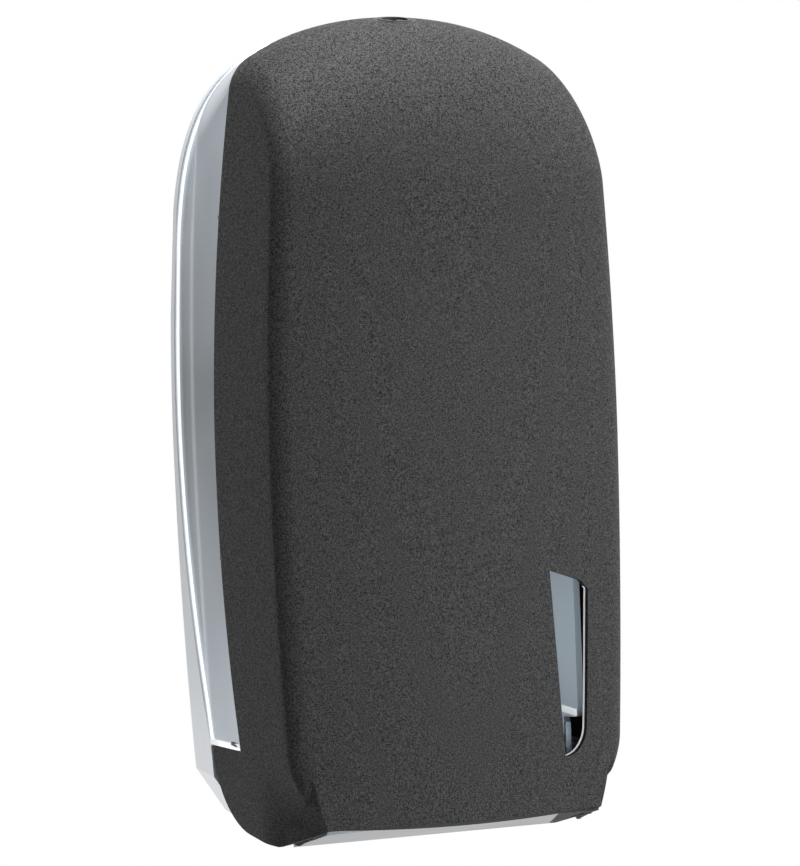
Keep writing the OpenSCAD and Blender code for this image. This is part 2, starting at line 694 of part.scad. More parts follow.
// Small pan head screw, head outwards along the third axis
module small_screw(l) {
    cylinder(r = small_head_r, h = small_head_h);
    translate([0, 0, -l]) cylinder(r = small_screw_r, h = l + 0.5);
}
module magazine_screws() {
    color(steel) for (p = magazine_screw_places, side = [-1, 1])
        translate([side * p[0], -plate_t - flange_t, p[1]]) rotate([90, 0, 0])
            small_screw(flange_t + plate_t - 0.5);
}
module tray_screws() {
    color(steel) for (p = tray_screw_places, side = [-1, 1])
        translate([side * (magazine_x + magazine_t), -p[0], p[1]]) rotate([0, side * 90, 0])
            small_screw(magazine_t + tray_t);
}

// Keeper: a hooked bar from the back plate to the front of the turned cam
keeper_x = barrel_r + 1.4;
cam_top = -barrel_l - 0.4;
keeper_root_z = lock_side(0, cam_top - cam_t - 5)[1] - 4;
keeper_foot_z = keeper_root_z - keeper_foot_h;
keeper_screw_places = [for (z = [5, 13.5]) [keeper_x + keeper_w / 2, keeper_foot_z + z]];
module lock_keeper() {
    hook_y = -cam_w / 2 - cam_gap;
    low = cam_top - cam_t - 5;
    color(steel) difference() {
        union() {
            across([
                [plate_t, keeper_root_z], lock_side(hook_y, low),
                lock_side(hook_y, cam_top + 1), lock_side(hook_y - keeper_t, cam_top + 1),
                lock_side(hook_y - keeper_t, low - keeper_t), [plate_t + 20, keeper_root_z - keeper_t],
                [plate_t + keeper_t, keeper_root_z - keeper_t - 10], [plate_t + keeper_t, keeper_foot_z],
                [plate_t, keeper_foot_z]
            ], keeper_x, keeper_x + keeper_w);
        }
        for (p = keeper_screw_places) translate([p[0], 0, p[1]]) rotate([90, 0, 0])
            cylinder(r = small_screw_r + fit, h = plate_t + keeper_t + 12);
    }
}
module keeper_screws() {
    color(steel) for (p = keeper_screw_places)
        translate([p[0], -plate_t - keeper_t, p[1]]) rotate([90, 0, 0]) small_screw(keeper_t + plate_t - 0.5);
}

// Hinge: headed pins in the magazine walls, flanged bushes in the carcase
module hinge_pin() {
    translate([magazine_x, -hinge_y, hinge_z]) rotate([0, 90, 0]) {
        translate([0, 0, -1.2]) cylinder(r = hinge_pin_r + 1.6, h = 1.2);
        translate([0, 0, -0.5]) cylinder(r = hinge_pin_r, h = bush_x1 - 0.3 - magazine_x + 0.5);
    }
}
module hinge_pin_right() color(steel) hinge_pin();
module hinge_pin_left() color(steel) mirror([1, 0, 0]) hinge_pin();
module hinge_bush() {
    translate([0, -hinge_y, hinge_z]) rotate([0, 90, 0]) difference() {
        union() {
            translate([0, 0, bush_x0]) cylinder(r = bush_r + 1, h = boss_x0 - bush_x0);
            translate([0, 0, bush_x0]) cylinder(r = bush_r, h = bush_x1 - bush_x0);
        }
        translate([0, 0, bush_x0 - 1]) cylinder(r = hinge_pin_r + run_gap, h = bush_x1 - bush_x0 + 2);
    }
}
module hinge_bush_right() color(black) hinge_bush();
module hinge_bush_left() color(black) mirror([1, 0, 0]) hinge_bush();

// Lock
module lock_housing() {
    color("#DFE3E6") lock_place() difference() {
        union() {
            translate([0, 0, -carcase_in + 0.1]) cylinder(r = lock_r, h = carcase_in - 0.1 + lock_proud);
            translate([0, 0, -barrel_l]) cylinder(r = barrel_r, h = barrel_l);
        }
        translate([0, 0, -barrel_l - 1]) cylinder(r = plug_r, h = barrel_l + lock_proud + 2);
    }
}
module lock_nut() {
    color(steel) lock_place() translate([0, 0, pad_z - nut_t]) difference() {
        rotate(30) cylinder(r = (barrel_r + 3.2), h = nut_t, $fn = 6);
        translate([0, 0, -1]) cylinder(r = barrel_r + fit, h = nut_t + 2);
    }
}
module lock_plug() {
    color(black) lock_place() difference() {
        union() {
            translate([0, 0, -barrel_l - 0.2]) cylinder(r = plug_r - run_gap, h = barrel_l + 0.2 + lock_proud - 0.3);
            translate([0, 0, cam_top - cam_t]) cylinder(r = 3, h = cam_t + 1);
        }
        translate([-0.8, -3.6, -9]) cube([1.6, 7.2, 20]);
        translate([0, 1.6, -9]) cylinder(r = 1.5, h = 20, $fn = 24);
        translate([0, 0, cam_top - cam_t - 1]) cylinder(r = small_screw_r + fit, h = 7);
    }
}
module lock_cam() {
    color(steel) lock_place() translate([0, 0, cam_top - cam_t]) difference() {
        union() {
            cylinder(r = plug_r, h = cam_t);
            translate([-cam_w / 2, 0, 0]) cube([cam_w, cam_l, cam_t]);
        }
        translate([0, 0, -1]) cylinder(r = 3 + fit, h = cam_t + 2);
    }
}
module cam_screw() {
    color(steel) lock_place() translate([0, 0, cam_top - cam_t]) rotate([180, 0, 0]) {
        cylinder(r = 3.8, h = 1.6);
        translate([0, 0, -4.5]) cylinder(r = small_screw_r, h = 5);
    }
}

module placed() {
    translate([0, 0, -mount_z]) children();
}
placed() back_plate();
placed() magazine_wall_left();
placed() magazine_wall_right();
placed() outlet_tray();
placed() lock_keeper();
placed() magazine_screws();
placed() tray_screws();
placed() keeper_screws();
placed() hinge_pin_left();
placed() hinge_pin_right();
placed() cover_carcase();
placed() front_skin();
placed() window_lens();
placed() hinge_bush_left();
placed() hinge_bush_right();
placed() lock_housing();
placed() lock_nut();
placed() lock_plug();
placed() lock_cam();
placed() cam_screw();
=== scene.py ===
# Wall dispenser for folded toilet tissue: heathered front skin on a silver carcase
# Lengths in the form functions are millimetres: x to the right, depth back from the
# wall's face as negative y, and level above the cover's lower front corner.
import math

import bmesh
import bpy
from mathutils import Matrix, Vector


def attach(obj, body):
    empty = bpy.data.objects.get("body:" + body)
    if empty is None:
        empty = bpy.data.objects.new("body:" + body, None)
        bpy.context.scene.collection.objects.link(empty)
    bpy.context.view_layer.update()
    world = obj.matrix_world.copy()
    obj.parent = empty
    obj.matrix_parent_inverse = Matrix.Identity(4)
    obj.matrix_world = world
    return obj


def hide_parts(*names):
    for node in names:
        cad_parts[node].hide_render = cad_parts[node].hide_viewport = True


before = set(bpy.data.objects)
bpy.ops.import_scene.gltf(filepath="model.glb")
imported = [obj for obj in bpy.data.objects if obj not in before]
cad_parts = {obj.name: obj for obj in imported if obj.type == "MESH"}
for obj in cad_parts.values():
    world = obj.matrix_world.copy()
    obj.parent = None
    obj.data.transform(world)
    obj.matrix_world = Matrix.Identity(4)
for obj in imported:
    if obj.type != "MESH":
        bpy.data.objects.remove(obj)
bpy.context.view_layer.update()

MOUNT_LEVEL = 150
FAR = 400

# ---------------------------------------------------------------- camera
YAW, PITCH, ROLL = math.radians(17.89), math.radians(2.42), math.radians(-2.24)
CAMERA_PLACE = (-0.36284, -1.21, 0.04216)
SENSOR_W = 36
FOCAL_LENGTH = 3126.5 / 866 * SENSOR_W


def aim_camera():
    ahead = Vector((math.sin(YAW) * math.cos(PITCH), math.cos(YAW) * math.cos(PITCH), -math.sin(PITCH)))
    level = Vector((math.cos(YAW), -math.sin(YAW), 0))
    upright = level.cross(ahead)
    right = math.cos(ROLL) * level + math.sin(ROLL) * upright
    top = -math.sin(ROLL) * level + math.cos(ROLL) * upright
    data = bpy.data.cameras.new("viewpoint")
    data.sensor_width = SENSOR_W
    data.lens = FOCAL_LENGTH
    camera = bpy.data.objects.new("viewpoint", data)
    bpy.context.scene.collection.objects.link(camera)
    turn = Matrix((right, top, -ahead)).transposed().to_4x4()
    camera.matrix_world = Matrix.Translation(CAMERA_PLACE) @ turn
    bpy.context.scene.camera = camera


aim_camera()

# ---------------------------------------------------------------- cover form
COVER_W, COVER_H, COVER_D = 133, 298.8, 158
WIDEST_Z, FOOT_DRAW, SHOULDER_DRAW, SHOULDER_POWER, FRONT_LEAN = 140, 4.3, 9.3, 1.8, 5.2
NOSE_D, NOSE_H, NOSE_POWER = 73.5, 66.3, 1.84
NOSE_Y, NOSE_Z = NOSE_D - COVER_D, COVER_H - NOSE_H
FRONT_CROWN_R, TOP_CROWN_R, SHOULDER_DROP, SHOULDER_SHARE, EDGE_R = 221, 125, 3.9, 0.45, 6.6
SKIN_T, SKIN_GAP = 1.6, 0.1
SKIN_REAR_Y, SKIN_REAR_Z, SKIN_UPPER_R, SKIN_LOWER_R = 63, 115, 740, 460
FRONT_EDGE_Z, STEP_Z, STEP_FALL = 4.4, 24.2, 2.6
LOBE_REAR_Y, LOBE_DROP, LOBE_CORNER_D, LOBE_CORNER_H = 30, 7, 44, 24
LOBE_FLAT_END, LOBE_BEND, LOBE_FRONT = COVER_D - 52, COVER_D - 22, COVER_D - 11
CURL_R, CURL_Z, CURL_D = 26, 30, 45
FOLD_Z, FOLD_W, FOLD_D, FOLD_POWER = 25.5, 10.2, 25, 2.2
CREASE_BOW, CREASE_GAP = 3.2, 0.05
CARCASE_IN, CARCASE_T, BAND_IN = SKIN_T + SKIN_GAP, 2.2, 0.4
RIM_Y, RIM_SWEEP, RIM_SWEEP_Z, RIM_POWER = 6, 23, 165, 2.3
COVE_Y, COVE_W, COVE_IN, SHOULDER_Z, CORNER_POWER = 33, 11, 0.9, 252, 0.95
SILL_H, SILL_OUT, SLOT_L, SLOT_START, SLOT_RISE = 2.4, 0.8, 9, 4, 1.7
BEAD_R, BEAD_OUT, BEAD_SIDES = 0.54, 0.42, 8
WINDOW_X, WINDOW_W, WINDOW_FOOT_W, WINDOW_Z, WINDOW_H = 33.4, 14.8, 9.3, 23.9, 68.9
WINDOW_FOOT_X, WINDOW_FOOT_R, WINDOW_SIDE_DROP, WINDOW_SIDE_FOOT = 4.4, 11, 8, 22
LENS_T, LENS_LAP = 1.2, 3.4
LOCK_AT, LOCK_R, LOCK_BORE_R, LOCK_PAD_R = 77, 8.2, 6.45, 10.4
NOTCH_D, NOTCH_H, NOTCH_LEVELS = 3.3, 1.3, (SKIN_REAR_Z - 18.5, NOSE_Z - 7)
PLATE_T, PLATE_RIM_T, PLATE_PROUD, RIM_GAP = 3, 2.4, 0.6, 0.5
PLATE_FOOT, CHAMFER_Z, CHAMFER_W = 9, 9, 11.4
ARCH_Z, ARCH_POWER, ARCH_RISE_POWER, ARCH_START = 190, 2.3, 4.12, 9.7
WALL_SCREW_X, WALL_SCREW_Z, WALL_SCREW_R = 32, 85, 2.6
RAW_FOOT_Z = -LOBE_DROP - 5
BACK_Y = LOBE_REAR_Y - 6

# Columns of a section (flank, rounded edge, half of the front) and rows up the sheet
FLANK_COLUMNS, EDGE_COLUMNS, FRONT_COLUMNS, COLUMN_STEP = 8, 5, 6, 0.5
FOOT_ROWS, FRONT_ROWS, NOSE_ROWS, BAND_ROWS, PLAN_ROWS = 24, 20, 30, 24, 8
ARC_STEPS = 40
FILLET = FLANK_COLUMNS - 1  # place of the fillet's first point in half_section
WELD, WELD_AFTER_CUT = 1e-6, 2e-5


def half_w(z):
    top = min(z, COVER_H)
    if top < WIDEST_Z:
        return COVER_W / 2 - FOOT_DRAW * ((WIDEST_Z - top) / WIDEST_Z) ** 2
    return COVER_W / 2 - SHOULDER_DRAW * ((top - WIDEST_Z) / (COVER_H - WIDEST_Z)) ** SHOULDER_POWER


def front_station(z, inset):
    return (inset - COVER_D + FRONT_LEAN * (NOSE_Z - z) / NOSE_Z, z, 0.0)


def nose_station(degrees, inset):
    c, s = math.cos(math.radians(degrees)), math.sin(math.radians(degrees))
    c = max(c, 1e-9)
    tilt = math.atan2(s ** (2 - 2 / NOSE_POWER) / NOSE_H, c ** (2 - 2 / NOSE_POWER) / NOSE_D)
    return (
        NOSE_Y - (NOSE_D - inset) * c ** (2 / NOSE_POWER),
        NOSE_Z + (NOSE_H - inset) * s ** (2 / NOSE_POWER),
        tilt,
    )


def crown(x, tilt, inset):
    lift = math.sin(tilt) ** 2
    r = 1 / (math.cos(tilt) ** 2 / (FRONT_CROWN_R - inset) + lift / (TOP_CROWN_R - inset))
    return r - math.sqrt(r * r - x * x) + lift * SHOULDER_DROP * (x / (SHOULDER_SHARE * COVER_W)) ** 4


def curl(z):
    return max(0, CURL_Z - z) ** 2 / (2 * CURL_R)


def curl_share(depth):
    return (1 - min(1, max(0, depth - EDGE_R) / CURL_D)) ** 2


def side_half_w(station, inset):
    z, tilt = station[1:]
    first = half_w(z - math.sin(tilt) * crown(half_w(z), tilt, inset))
    return half_w(z - math.sin(tilt) * (crown(first, tilt, inset) + EDGE_R - inset)) - inset


def fold_depth(z):
    return min(0.75 * CURL_D, FOLD_D * ((FOLD_Z - z) / (FOLD_Z - FRONT_EDGE_Z)) ** FOLD_POWER)


def crease_x(z):
    u = (FOLD_Z - z) / (FOLD_Z - FRONT_EDGE_Z)
    top = half_w(FOLD_Z) - EDGE_R - curl(FOLD_Z)
    return top - u * (top - half_w(FRONT_EDGE_Z) + FOLD_W) + CREASE_BOW * u * max(0, 1 - u)


def round_drop(depth, r):
    return r - math.sqrt(r * r - (r - depth) ** 2) if depth < r else 0


def half_section(station, inset):
    """Half a section from the rear of its side to the centre: (x, depth behind the sheet)."""
    z, tilt = station[1:]
    w, r, reach = side_half_w(station, inset), EDGE_R - inset, EDGE_R + CURL_D
    low = tilt == 0 and z < FOLD_Z
    fold = fold_depth(z) if low else 0
    rim = crease_x(z) - inset if low else w - r - curl(z)
    depths = [reach * k / FLANK_COLUMNS for k in range(FLANK_COLUMNS, 1, -1)]
    turns = [90 / EDGE_COLUMNS * t * COLUMN_STEP for t in range(int(EDGE_COLUMNS / COLUMN_STEP))]
    depths += [r * (1 - math.sin(math.radians(a))) for a in turns]
    points = []
    for k, e in enumerate(depths):
        d = fold + (reach - fold) * e / reach
        x = w - curl_share(d + inset) * curl(z) - round_drop(d, r)
        if low and k == len(depths) - 1:
            share = (1 - (FOLD_Z - z) / (FOLD_Z - RAW_FOOT_Z)) ** 3
            d = fold + CREASE_GAP + share * (e - CREASE_GAP)
            x = min(rim + 0.25 * fold + CREASE_GAP + share * (r - round_drop(e, r)), x - 0.1)
        points.append((x, d))
    count = int(FRONT_COLUMNS / COLUMN_STEP)
    return points + [(rim * (1 - k / count), 0) for k in range(count + 1)]


def cover_row(station, inset, back):
    half = half_section(station, inset)
    y0, z0, tilt = station
    edge_fall = crown(half[FILLET][0], tilt, inset)
    row = []
    for x, d in [(-x, d) for x, d in half] + half[-2::-1]:
        flank = tilt > 0 and d > EDGE_R
        rolled = EDGE_R - inset if flank else d
        fall = (edge_fall if flank else crown(abs(x), tilt, inset)) + rolled
        row.append((x, y0 + math.cos(tilt) * fall + d - rolled, z0 - math.sin(tilt) * fall))
    return straight_back(row[0], back) + row + straight_back(row[-1], back)[::-1]


def straight_back(point, back):
    x, y, z = point
    return [(x, -back + (y + back) * k / 4, z) for k in range(4)]


def cover_rows(inset, back):
    heights = [RAW_FOOT_Z + (CURL_Z - RAW_FOOT_Z) * k / FOOT_ROWS for k in range(FOOT_ROWS)]
    heights += [CURL_Z + (NOSE_Z - CURL_Z) * k / FRONT_ROWS for k in range(FRONT_ROWS)]
    stations = [front_station(z, inset) for z in heights]
    stations += [nose_station(90 * k / NOSE_ROWS, inset) for k in range(NOSE_ROWS + 1)]
    rows = [cover_row(s, inset, back) for s in stations]
    return rows + [[(x, -back, z) for x, _, z in rows[-1]]]


# ---------------------------------------------------------------- outlines in side view
def skin_edge(z):
    return SKIN_REAR_Y + (z - SKIN_REAR_Z) ** 2 / (2 * (SKIN_UPPER_R if z > SKIN_REAR_Z else SKIN_LOWER_R))


def step_level(y):
    return STEP_Z - STEP_FALL * (skin_edge(STEP_Z) - y) / (skin_edge(STEP_Z) - LOBE_REAR_Y)


RIM_FOOT_Z = step_level(RIM_Y + RIM_SWEEP) + 0.2


def rim_edge(z):
    return RIM_Y + RIM_SWEEP * (max(0, RIM_SWEEP_Z - z) / (RIM_SWEEP_Z - RIM_FOOT_Z)) ** RIM_POWER


def lobe_foot(margin, edge_z):
    arc = [
        (
            LOBE_REAR_Y + LOBE_CORNER_D - (LOBE_CORNER_D - margin) * math.cos(math.radians(a)),
            LOBE_CORNER_H - LOBE_DROP - (LOBE_CORNER_H - margin) * math.sin(math.radians(a)),
        )
        for a in range(0, 91, 5)
    ]
    rise = [(LOBE_FLAT_END, margin - LOBE_DROP), (LOBE_BEND, margin + 1)]
    return arc + rise + [(LOBE_FRONT, edge_z), (FAR, edge_z)]


def levels(top, foot, count):
    return [top + (foot - top) * k / count for k in range(count + 1)]


SKIN_EDGE_LINE = [(skin_edge(z), z) for z in levels(COVER_H + 8, STEP_Z, 54)]


def window_blade(inset):
    """The window's outline seen from the front, moved inwards by a distance."""
    top = WINDOW_Z + WINDOW_H
    corners = [
        (WINDOW_X, top),
        (WINDOW_X + 0.85 * WINDOW_W, top - 4.6),
        (WINDOW_X + WINDOW_W + 1, top - WINDOW_SIDE_DROP),
        (WINDOW_X + WINDOW_W - 0.5, WINDOW_Z + WINDOW_SIDE_FOOT),
    ]
    for a in range(0, 91, 6):
        c, s = math.cos(math.radians(a)), math.sin(math.radians(a))
        x = WINDOW_X + WINDOW_FOOT_X + WINDOW_FOOT_W * c
        corners.append((x, WINDOW_Z + WINDOW_FOOT_R - WINDOW_FOOT_R * s))
    moved = []
    for k, (x, z) in enumerate(corners):
        before, after = Vector(corners[k - 1]), Vector(corners[(k + 1) % len(corners)])
        here = Vector((x, z))
        a, b = (here - before).normalized(), (after - here).normalized()
        inward = (Vector((a.y, -a.x)) + Vector((b.y, -b.x))).normalized()
        moved.append(tuple(here + inward * inset / max(0.4, inward.dot(Vector((a.y, -a.x))))))
    return moved


# ---------------------------------------------------------------- mesh helpers
def metres(x, y, z):
    return Vector((x, y, z - MOUNT_LEVEL)) / 1000


def grid_through(bm, rows):
    """A grid whose points lie on the rows."""
    n, m = len(rows), len(rows[0])
    made = bmesh.ops.create_grid(bm, x_segments=m - 1, y_segments=n - 1, size=1)["verts"]
    for v in made:
        column = round((v.co.x + 1) / 2 * (m - 1))
        row = round((v.co.y + 1) / 2 * (n - 1))
        v.co = metres(*rows[row][column])


def walled(outer, inner):
    """A closed wall between two sheets: each row runs out along one and back along the other."""
    rows = [a + b[::-1] + a[:1] for a, b in zip(outer, inner)]
    rows = [outer[0] + outer[0][::-1] + outer[0][:1]] + rows + [outer[-1] + outer[-1][::-1] + outer[-1][:1]]
    bm = bmesh.new()
    grid_through(bm, rows)
    bmesh.ops.remove_doubles(bm, verts=bm.verts, dist=WELD)
    bmesh.ops.dissolve_degenerate(bm, edges=bm.edges, dist=WELD)
    bmesh.ops.triangulate(bm, faces=bm.faces)
    bmesh.ops.recalc_face_normals(bm, faces=bm.faces)
    return bm


def prism(points, lift):
    """A polygon of points, drawn along a vector."""
    bm = bmesh.new()
    verts = [bm.verts.new(metres(*p)) for p in points]
    ring = [bm.edges.new((a, b)) for a, b in zip(verts, verts[1:] + verts[:1])]
    face = bmesh.ops.edgeloop_fill(bm, edges=ring)["faces"]
    grown = bmesh.ops.extrude_face_region(bm, geom=face)["geom"]
    top = [g for g in grown if isinstance(g, bmesh.types.BMVert)]
    bmesh.ops.translate(bm, verts=top, vec=Vector(lift) / 1000)
    bmesh.ops.recalc_face_normals(bm, faces=bm.faces)
    return bm


def across(outline, x0=-FAR, x1=FAR):
    """A side-view outline of (depth, level), drawn from left to right."""
    return prism([(x0, -d, z) for d, z in outline], (x1 - x0, 0, 0))


def forward(outline, y0, y1):
    """A front-view outline of (x, level), drawn forwards between two depths."""
    return prism([(x, -y0, z) for x, z in outline], (0, y0 - y1, 0))


def turned(profile, place, axis, count=64):
    """A closed outline of (radius, height) turned about an axis at a place."""
    bm = bmesh.new()
    verts = [bm.verts.new((r / 1000, 0, h / 1000)) for r, h in profile]
    ring = [bm.edges.new((a, b)) for a, b in zip(verts, verts[1:] + verts[:1])]
    bmesh.ops.spin(
        bm, geom=verts + ring, axis=(0, 0, 1), cent=(0, 0, 0), angle=math.tau, steps=count, use_merge=True
    )
    bmesh.ops.remove_doubles(bm, verts=bm.verts, dist=WELD)
    bmesh.ops.recalc_face_normals(bm, faces=bm.faces)
    stand = Vector(axis).to_track_quat("Z", "Y").to_matrix().to_4x4()
    bmesh.ops.transform(bm, matrix=Matrix.Translation(metres(*place)) @ stand, verts=bm.verts)
    return bm


def slab(centre, size):
    bm = bmesh.new()
    bmesh.ops.create_cube(bm, size=1)
    shape = Matrix.Diagonal((*[s / 1000 for s in size], 1))
    bmesh.ops.transform(bm, matrix=Matrix.Translation(metres(*centre)) @ shape, verts=bm.verts)
    return bm


def rounded(bm, width):
    """Bevels every sharp edge."""
    edges = [e for e in bm.edges if e.is_manifold and e.calc_face_angle(0) > math.radians(30)]
    bmesh.ops.bevel(
        bm,
        geom=edges,
        offset=width / 1000,
        segments=2,
        affect="EDGES",
        profile=0.5,
        material=-1,
        clamp_overlap=True,
    )
    return bm


def crisp(bm, angle):
    """Smooth faces with sharp edges above an angle."""
    for f in bm.faces:
        f.smooth = True
    for e in bm.edges:
        e.smooth = not (e.is_manifold and e.calc_face_angle(0) > math.radians(angle))


def sided(name, side):
    return name + ("_left" if side < 0 else "_right")


def meshed(name, bm, angle=28):
    crisp(bm, angle)
    mesh = bpy.data.meshes.new(name)
    bm.to_mesh(mesh)
    bm.free()
    obj = bpy.data.objects.new(name, mesh)
    bpy.context.scene.collection.objects.link(obj)
    return obj


def cut(obj, *steps, angle=28):
    """Trims an object by solids: pairs of an operation and a bmesh."""
    tools = []
    for k, (operation, solid) in enumerate(steps):
        tool = meshed(f"trim_{k}", solid)
        tools.append(tool)
        modifier = obj.modifiers.new("trim", "BOOLEAN")
        modifier.operation, modifier.object, modifier.solver = operation, tool, "EXACT"
    bpy.context.view_layer.update()
    shaped = bpy.data.meshes.new_from_object(obj.evaluated_get(bpy.context.evaluated_depsgraph_get()))
    obj.modifiers.clear()
    old, obj.data = obj.data, shaped
    bpy.data.meshes.remove(old)
    for tool in tools:
        mesh = tool.data
        bpy.data.objects.remove(tool)
        bpy.data.meshes.remove(mesh)
    bm = bmesh.new()
    bm.from_mesh(shaped)
    bmesh.ops.remove_doubles(bm, verts=bm.verts, dist=WELD_AFTER_CUT)
    crisp(bm, angle)
    bm.to_mesh(shaped)
    bm.free()
    return obj


def fitted(obj, body, finish, slot, *nodes):
    """Gives an object its finish and body, and the CAD nodes that it stands for; the slot is not used."""
    obj.data.materials.clear()
    obj.data.materials.append(finish)
    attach(obj, body)
    if nodes:
        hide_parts(*nodes)
    return obj


# ---------------------------------------------------------------- finishes
def colour(code):
    """sRGB hex to the linear colour that the shader takes."""
    parts = [int(code[k : k + 2], 16) / 255 for k in (1, 3, 5)]
    return (*[p / 12.92 if p <= 0.04045 else ((p + 0.055) / 1.055) ** 2.4 for p in parts], 1)


def add_node(tree, kind, settings=None, **inputs):
    """Adds a node; a tuple of (node, output) as an input value makes a link."""
    node = tree.nodes.new(kind)
    for key, value in (settings or {}).items():
        setattr(node, key, value)
    for key, value in inputs.items():
        socket = node.inputs[int(key[1:])] if key[1:].isdigit() else node.inputs[key.replace("_", " ")]
        if isinstance(value, tuple) and len(value) == 2 and hasattr(value[0], "outputs"):
            tree.links.new(value[0].outputs[value[1]], socket)
        else:
            socket.default_value = value
    return node


def new_finish(name):
    material = bpy.data.materials.new(name)
    material.use_nodes = True
    tree = material.node_tree
    tree.nodes.clear()
    return material, tree, tree.nodes.new("ShaderNodeOutputMaterial")


def per_mm(size):
    """Scale that gives a noise cell of a size in millimetres."""
    return 1000 / size


def blend_colours(tree, factor, dark, light):
    ramp = add_node(tree, "ShaderNodeMix", {"data_type": "RGBA"})
    tree.links.new(factor[0].outputs[factor[1]], ramp.inputs[0])
    ramp.inputs[6].default_value = colour(dark)
    ramp.inputs[7].default_value = colour(light)
    return (ramp, 2)


def heathered_film():
    # Decorated ABS sheet with a matt woven print: streaks 0.9 mm by 0.36 mm in two
    # crossed directions, and a finer grain
    material, tree, output = new_finish("heathered_matt_film_on_ABS")
    place = add_node(tree, "ShaderNodeTexCoord")
    long, short, deep = per_mm(0.9), per_mm(0.36), per_mm(2.6)
    threads = []
    for scale in ((long, deep, short), (short, deep, long)):
        turn = add_node(tree, "ShaderNodeMapping", Vector=(place, 3), Scale=scale)
        threads.append(
            add_node(tree, "ShaderNodeTexNoise", Vector=(turn, 0), Scale=1.0, Detail=2.0, Roughness=0.6)
        )
    weave = add_node(tree, "ShaderNodeMath", {"operation": "ADD"}, _0=(threads[0], 0), _1=(threads[1], 0))
    speck = (per_mm(0.3), per_mm(1.6), per_mm(0.3))
    turn = add_node(tree, "ShaderNodeMapping", Vector=(place, 3), Scale=speck)
    grain = add_node(tree, "ShaderNodeTexNoise", Vector=(turn, 0), Scale=1.0, Detail=1.0, Roughness=0.5)
    mixed = add_node(
        tree, "ShaderNodeMath", {"operation": "MULTIPLY_ADD"}, _0=(grain, 0), _1=1.2, _2=(weave, 0)
    )
    # Painted light: the grain has more contrast where the surface faces upwards, as the overhead lamp would
    # rake the weave
    painted_light_normal = add_node(tree, "ShaderNodeSeparateXYZ", Vector=(add_node(tree, "ShaderNodeNewGeometry"), 1))
    reach = add_node(
        tree, "ShaderNodeMapRange", Value=(painted_light_normal, 2), From_Min=0.35, From_Max=0.95, To_Min=1.667, To_Max=4.2
    )
    centred = add_node(tree, "ShaderNodeMath", {"operation": "SUBTRACT"}, _0=(mixed, 0), _1=1.6)
    spread = add_node(
        tree,
        "ShaderNodeMath",
        {"operation": "MULTIPLY_ADD", "use_clamp": True},
        _0=(centred, 0),
        _1=(reach, 0),
        _2=0.5,
    )
    shade = blend_colours(tree, (spread, 0), "#19191A", "#515152")
    bump = add_node(tree, "ShaderNodeBump", Strength=0.45, Distance=0.00012, Height=(spread, 0))
    rough = add_node(tree, "ShaderNodeMapRange", Value=(spread, 0), To_Min=0.66, To_Max=0.5)
    shader = add_node(
        tree, "ShaderNodeBsdfPrincipled", Base_Color=shade, Roughness=(rough, 0), Normal=(bump, 0), IOR=1.5
    )
    shader.inputs["Specular IOR Level"].default_value = 0.08
    tree.links.new(shader.outputs[0], output.inputs[0])
    return material


def painted_silver(name, dark, light, rough, metal=0.75, level=None, coat=0.3, painted_glint=0):
    # Silver-lacquered ABS: fine metal flake under a satin clear coat. An emission can paint a highlight on
    # it, and a colour change with height can paint a reflection
    material, tree, output = new_finish(name)
    place = add_node(tree, "ShaderNodeTexCoord")
    flake = add_node(
        tree, "ShaderNodeTexNoise", Vector=(place, 3), Scale=per_mm(0.5), Detail=2.0, Roughness=0.7
    )
    drift = add_node(
        tree, "ShaderNodeTexNoise", Vector=(place, 3), Scale=per_mm(45), Detail=1.0, Roughness=0.4
    )
    mixed = add_node(
        tree, "ShaderNodeMath", {"operation": "MULTIPLY_ADD"}, _0=(flake, 0), _1=0.5, _2=(drift, 0)
    )
    factor = add_node(tree, "ShaderNodeMapRange", Value=(mixed, 0), From_Min=0.55, From_Max=0.95)
    if level:
        # Painted reflection: the colour is darkest at one height and paler above and below it, as the band's
        # reflection would be
        darkest_height, fade = level
        split = add_node(tree, "ShaderNodeSeparateXYZ", Vector=(place, 3))
        apart = add_node(tree, "ShaderNodeMath", {"operation": "SUBTRACT"}, _0=(split, 2), _1=darkest_height)
        away = add_node(tree, "ShaderNodeMath", {"operation": "ABSOLUTE"}, _0=(apart, 0))
        rise = add_node(
            tree,
            "ShaderNodeMapRange",
            Value=(away, 0),
            From_Min=0.0,
            From_Max=fade,
            To_Min=-0.1,
            To_Max=0.9,
        )
        factor = add_node(
            tree, "ShaderNodeMath", {"operation": "MULTIPLY_ADD"}, _0=(factor, 0), _1=0.25, _2=(rise, 0)
        )
    shade = blend_colours(tree, (factor, 0), dark, light)
    bump = add_node(tree, "ShaderNodeBump", Strength=0.08, Distance=0.00005, Height=(flake, 0))
    shader = add_node(
        tree,
        "ShaderNodeBsdfPrincipled",
        Base_Color=shade,
        Metallic=metal,
        Roughness=rough,
        Normal=(bump, 0),
        Coat_Weight=coat,
        Coat_Roughness=0.12,
        Emission_Color=colour("#FFFFFF"),
        Emission_Strength=painted_glint,
    )
    tree.links.new(shader.outputs[0], output.inputs[0])
    return material


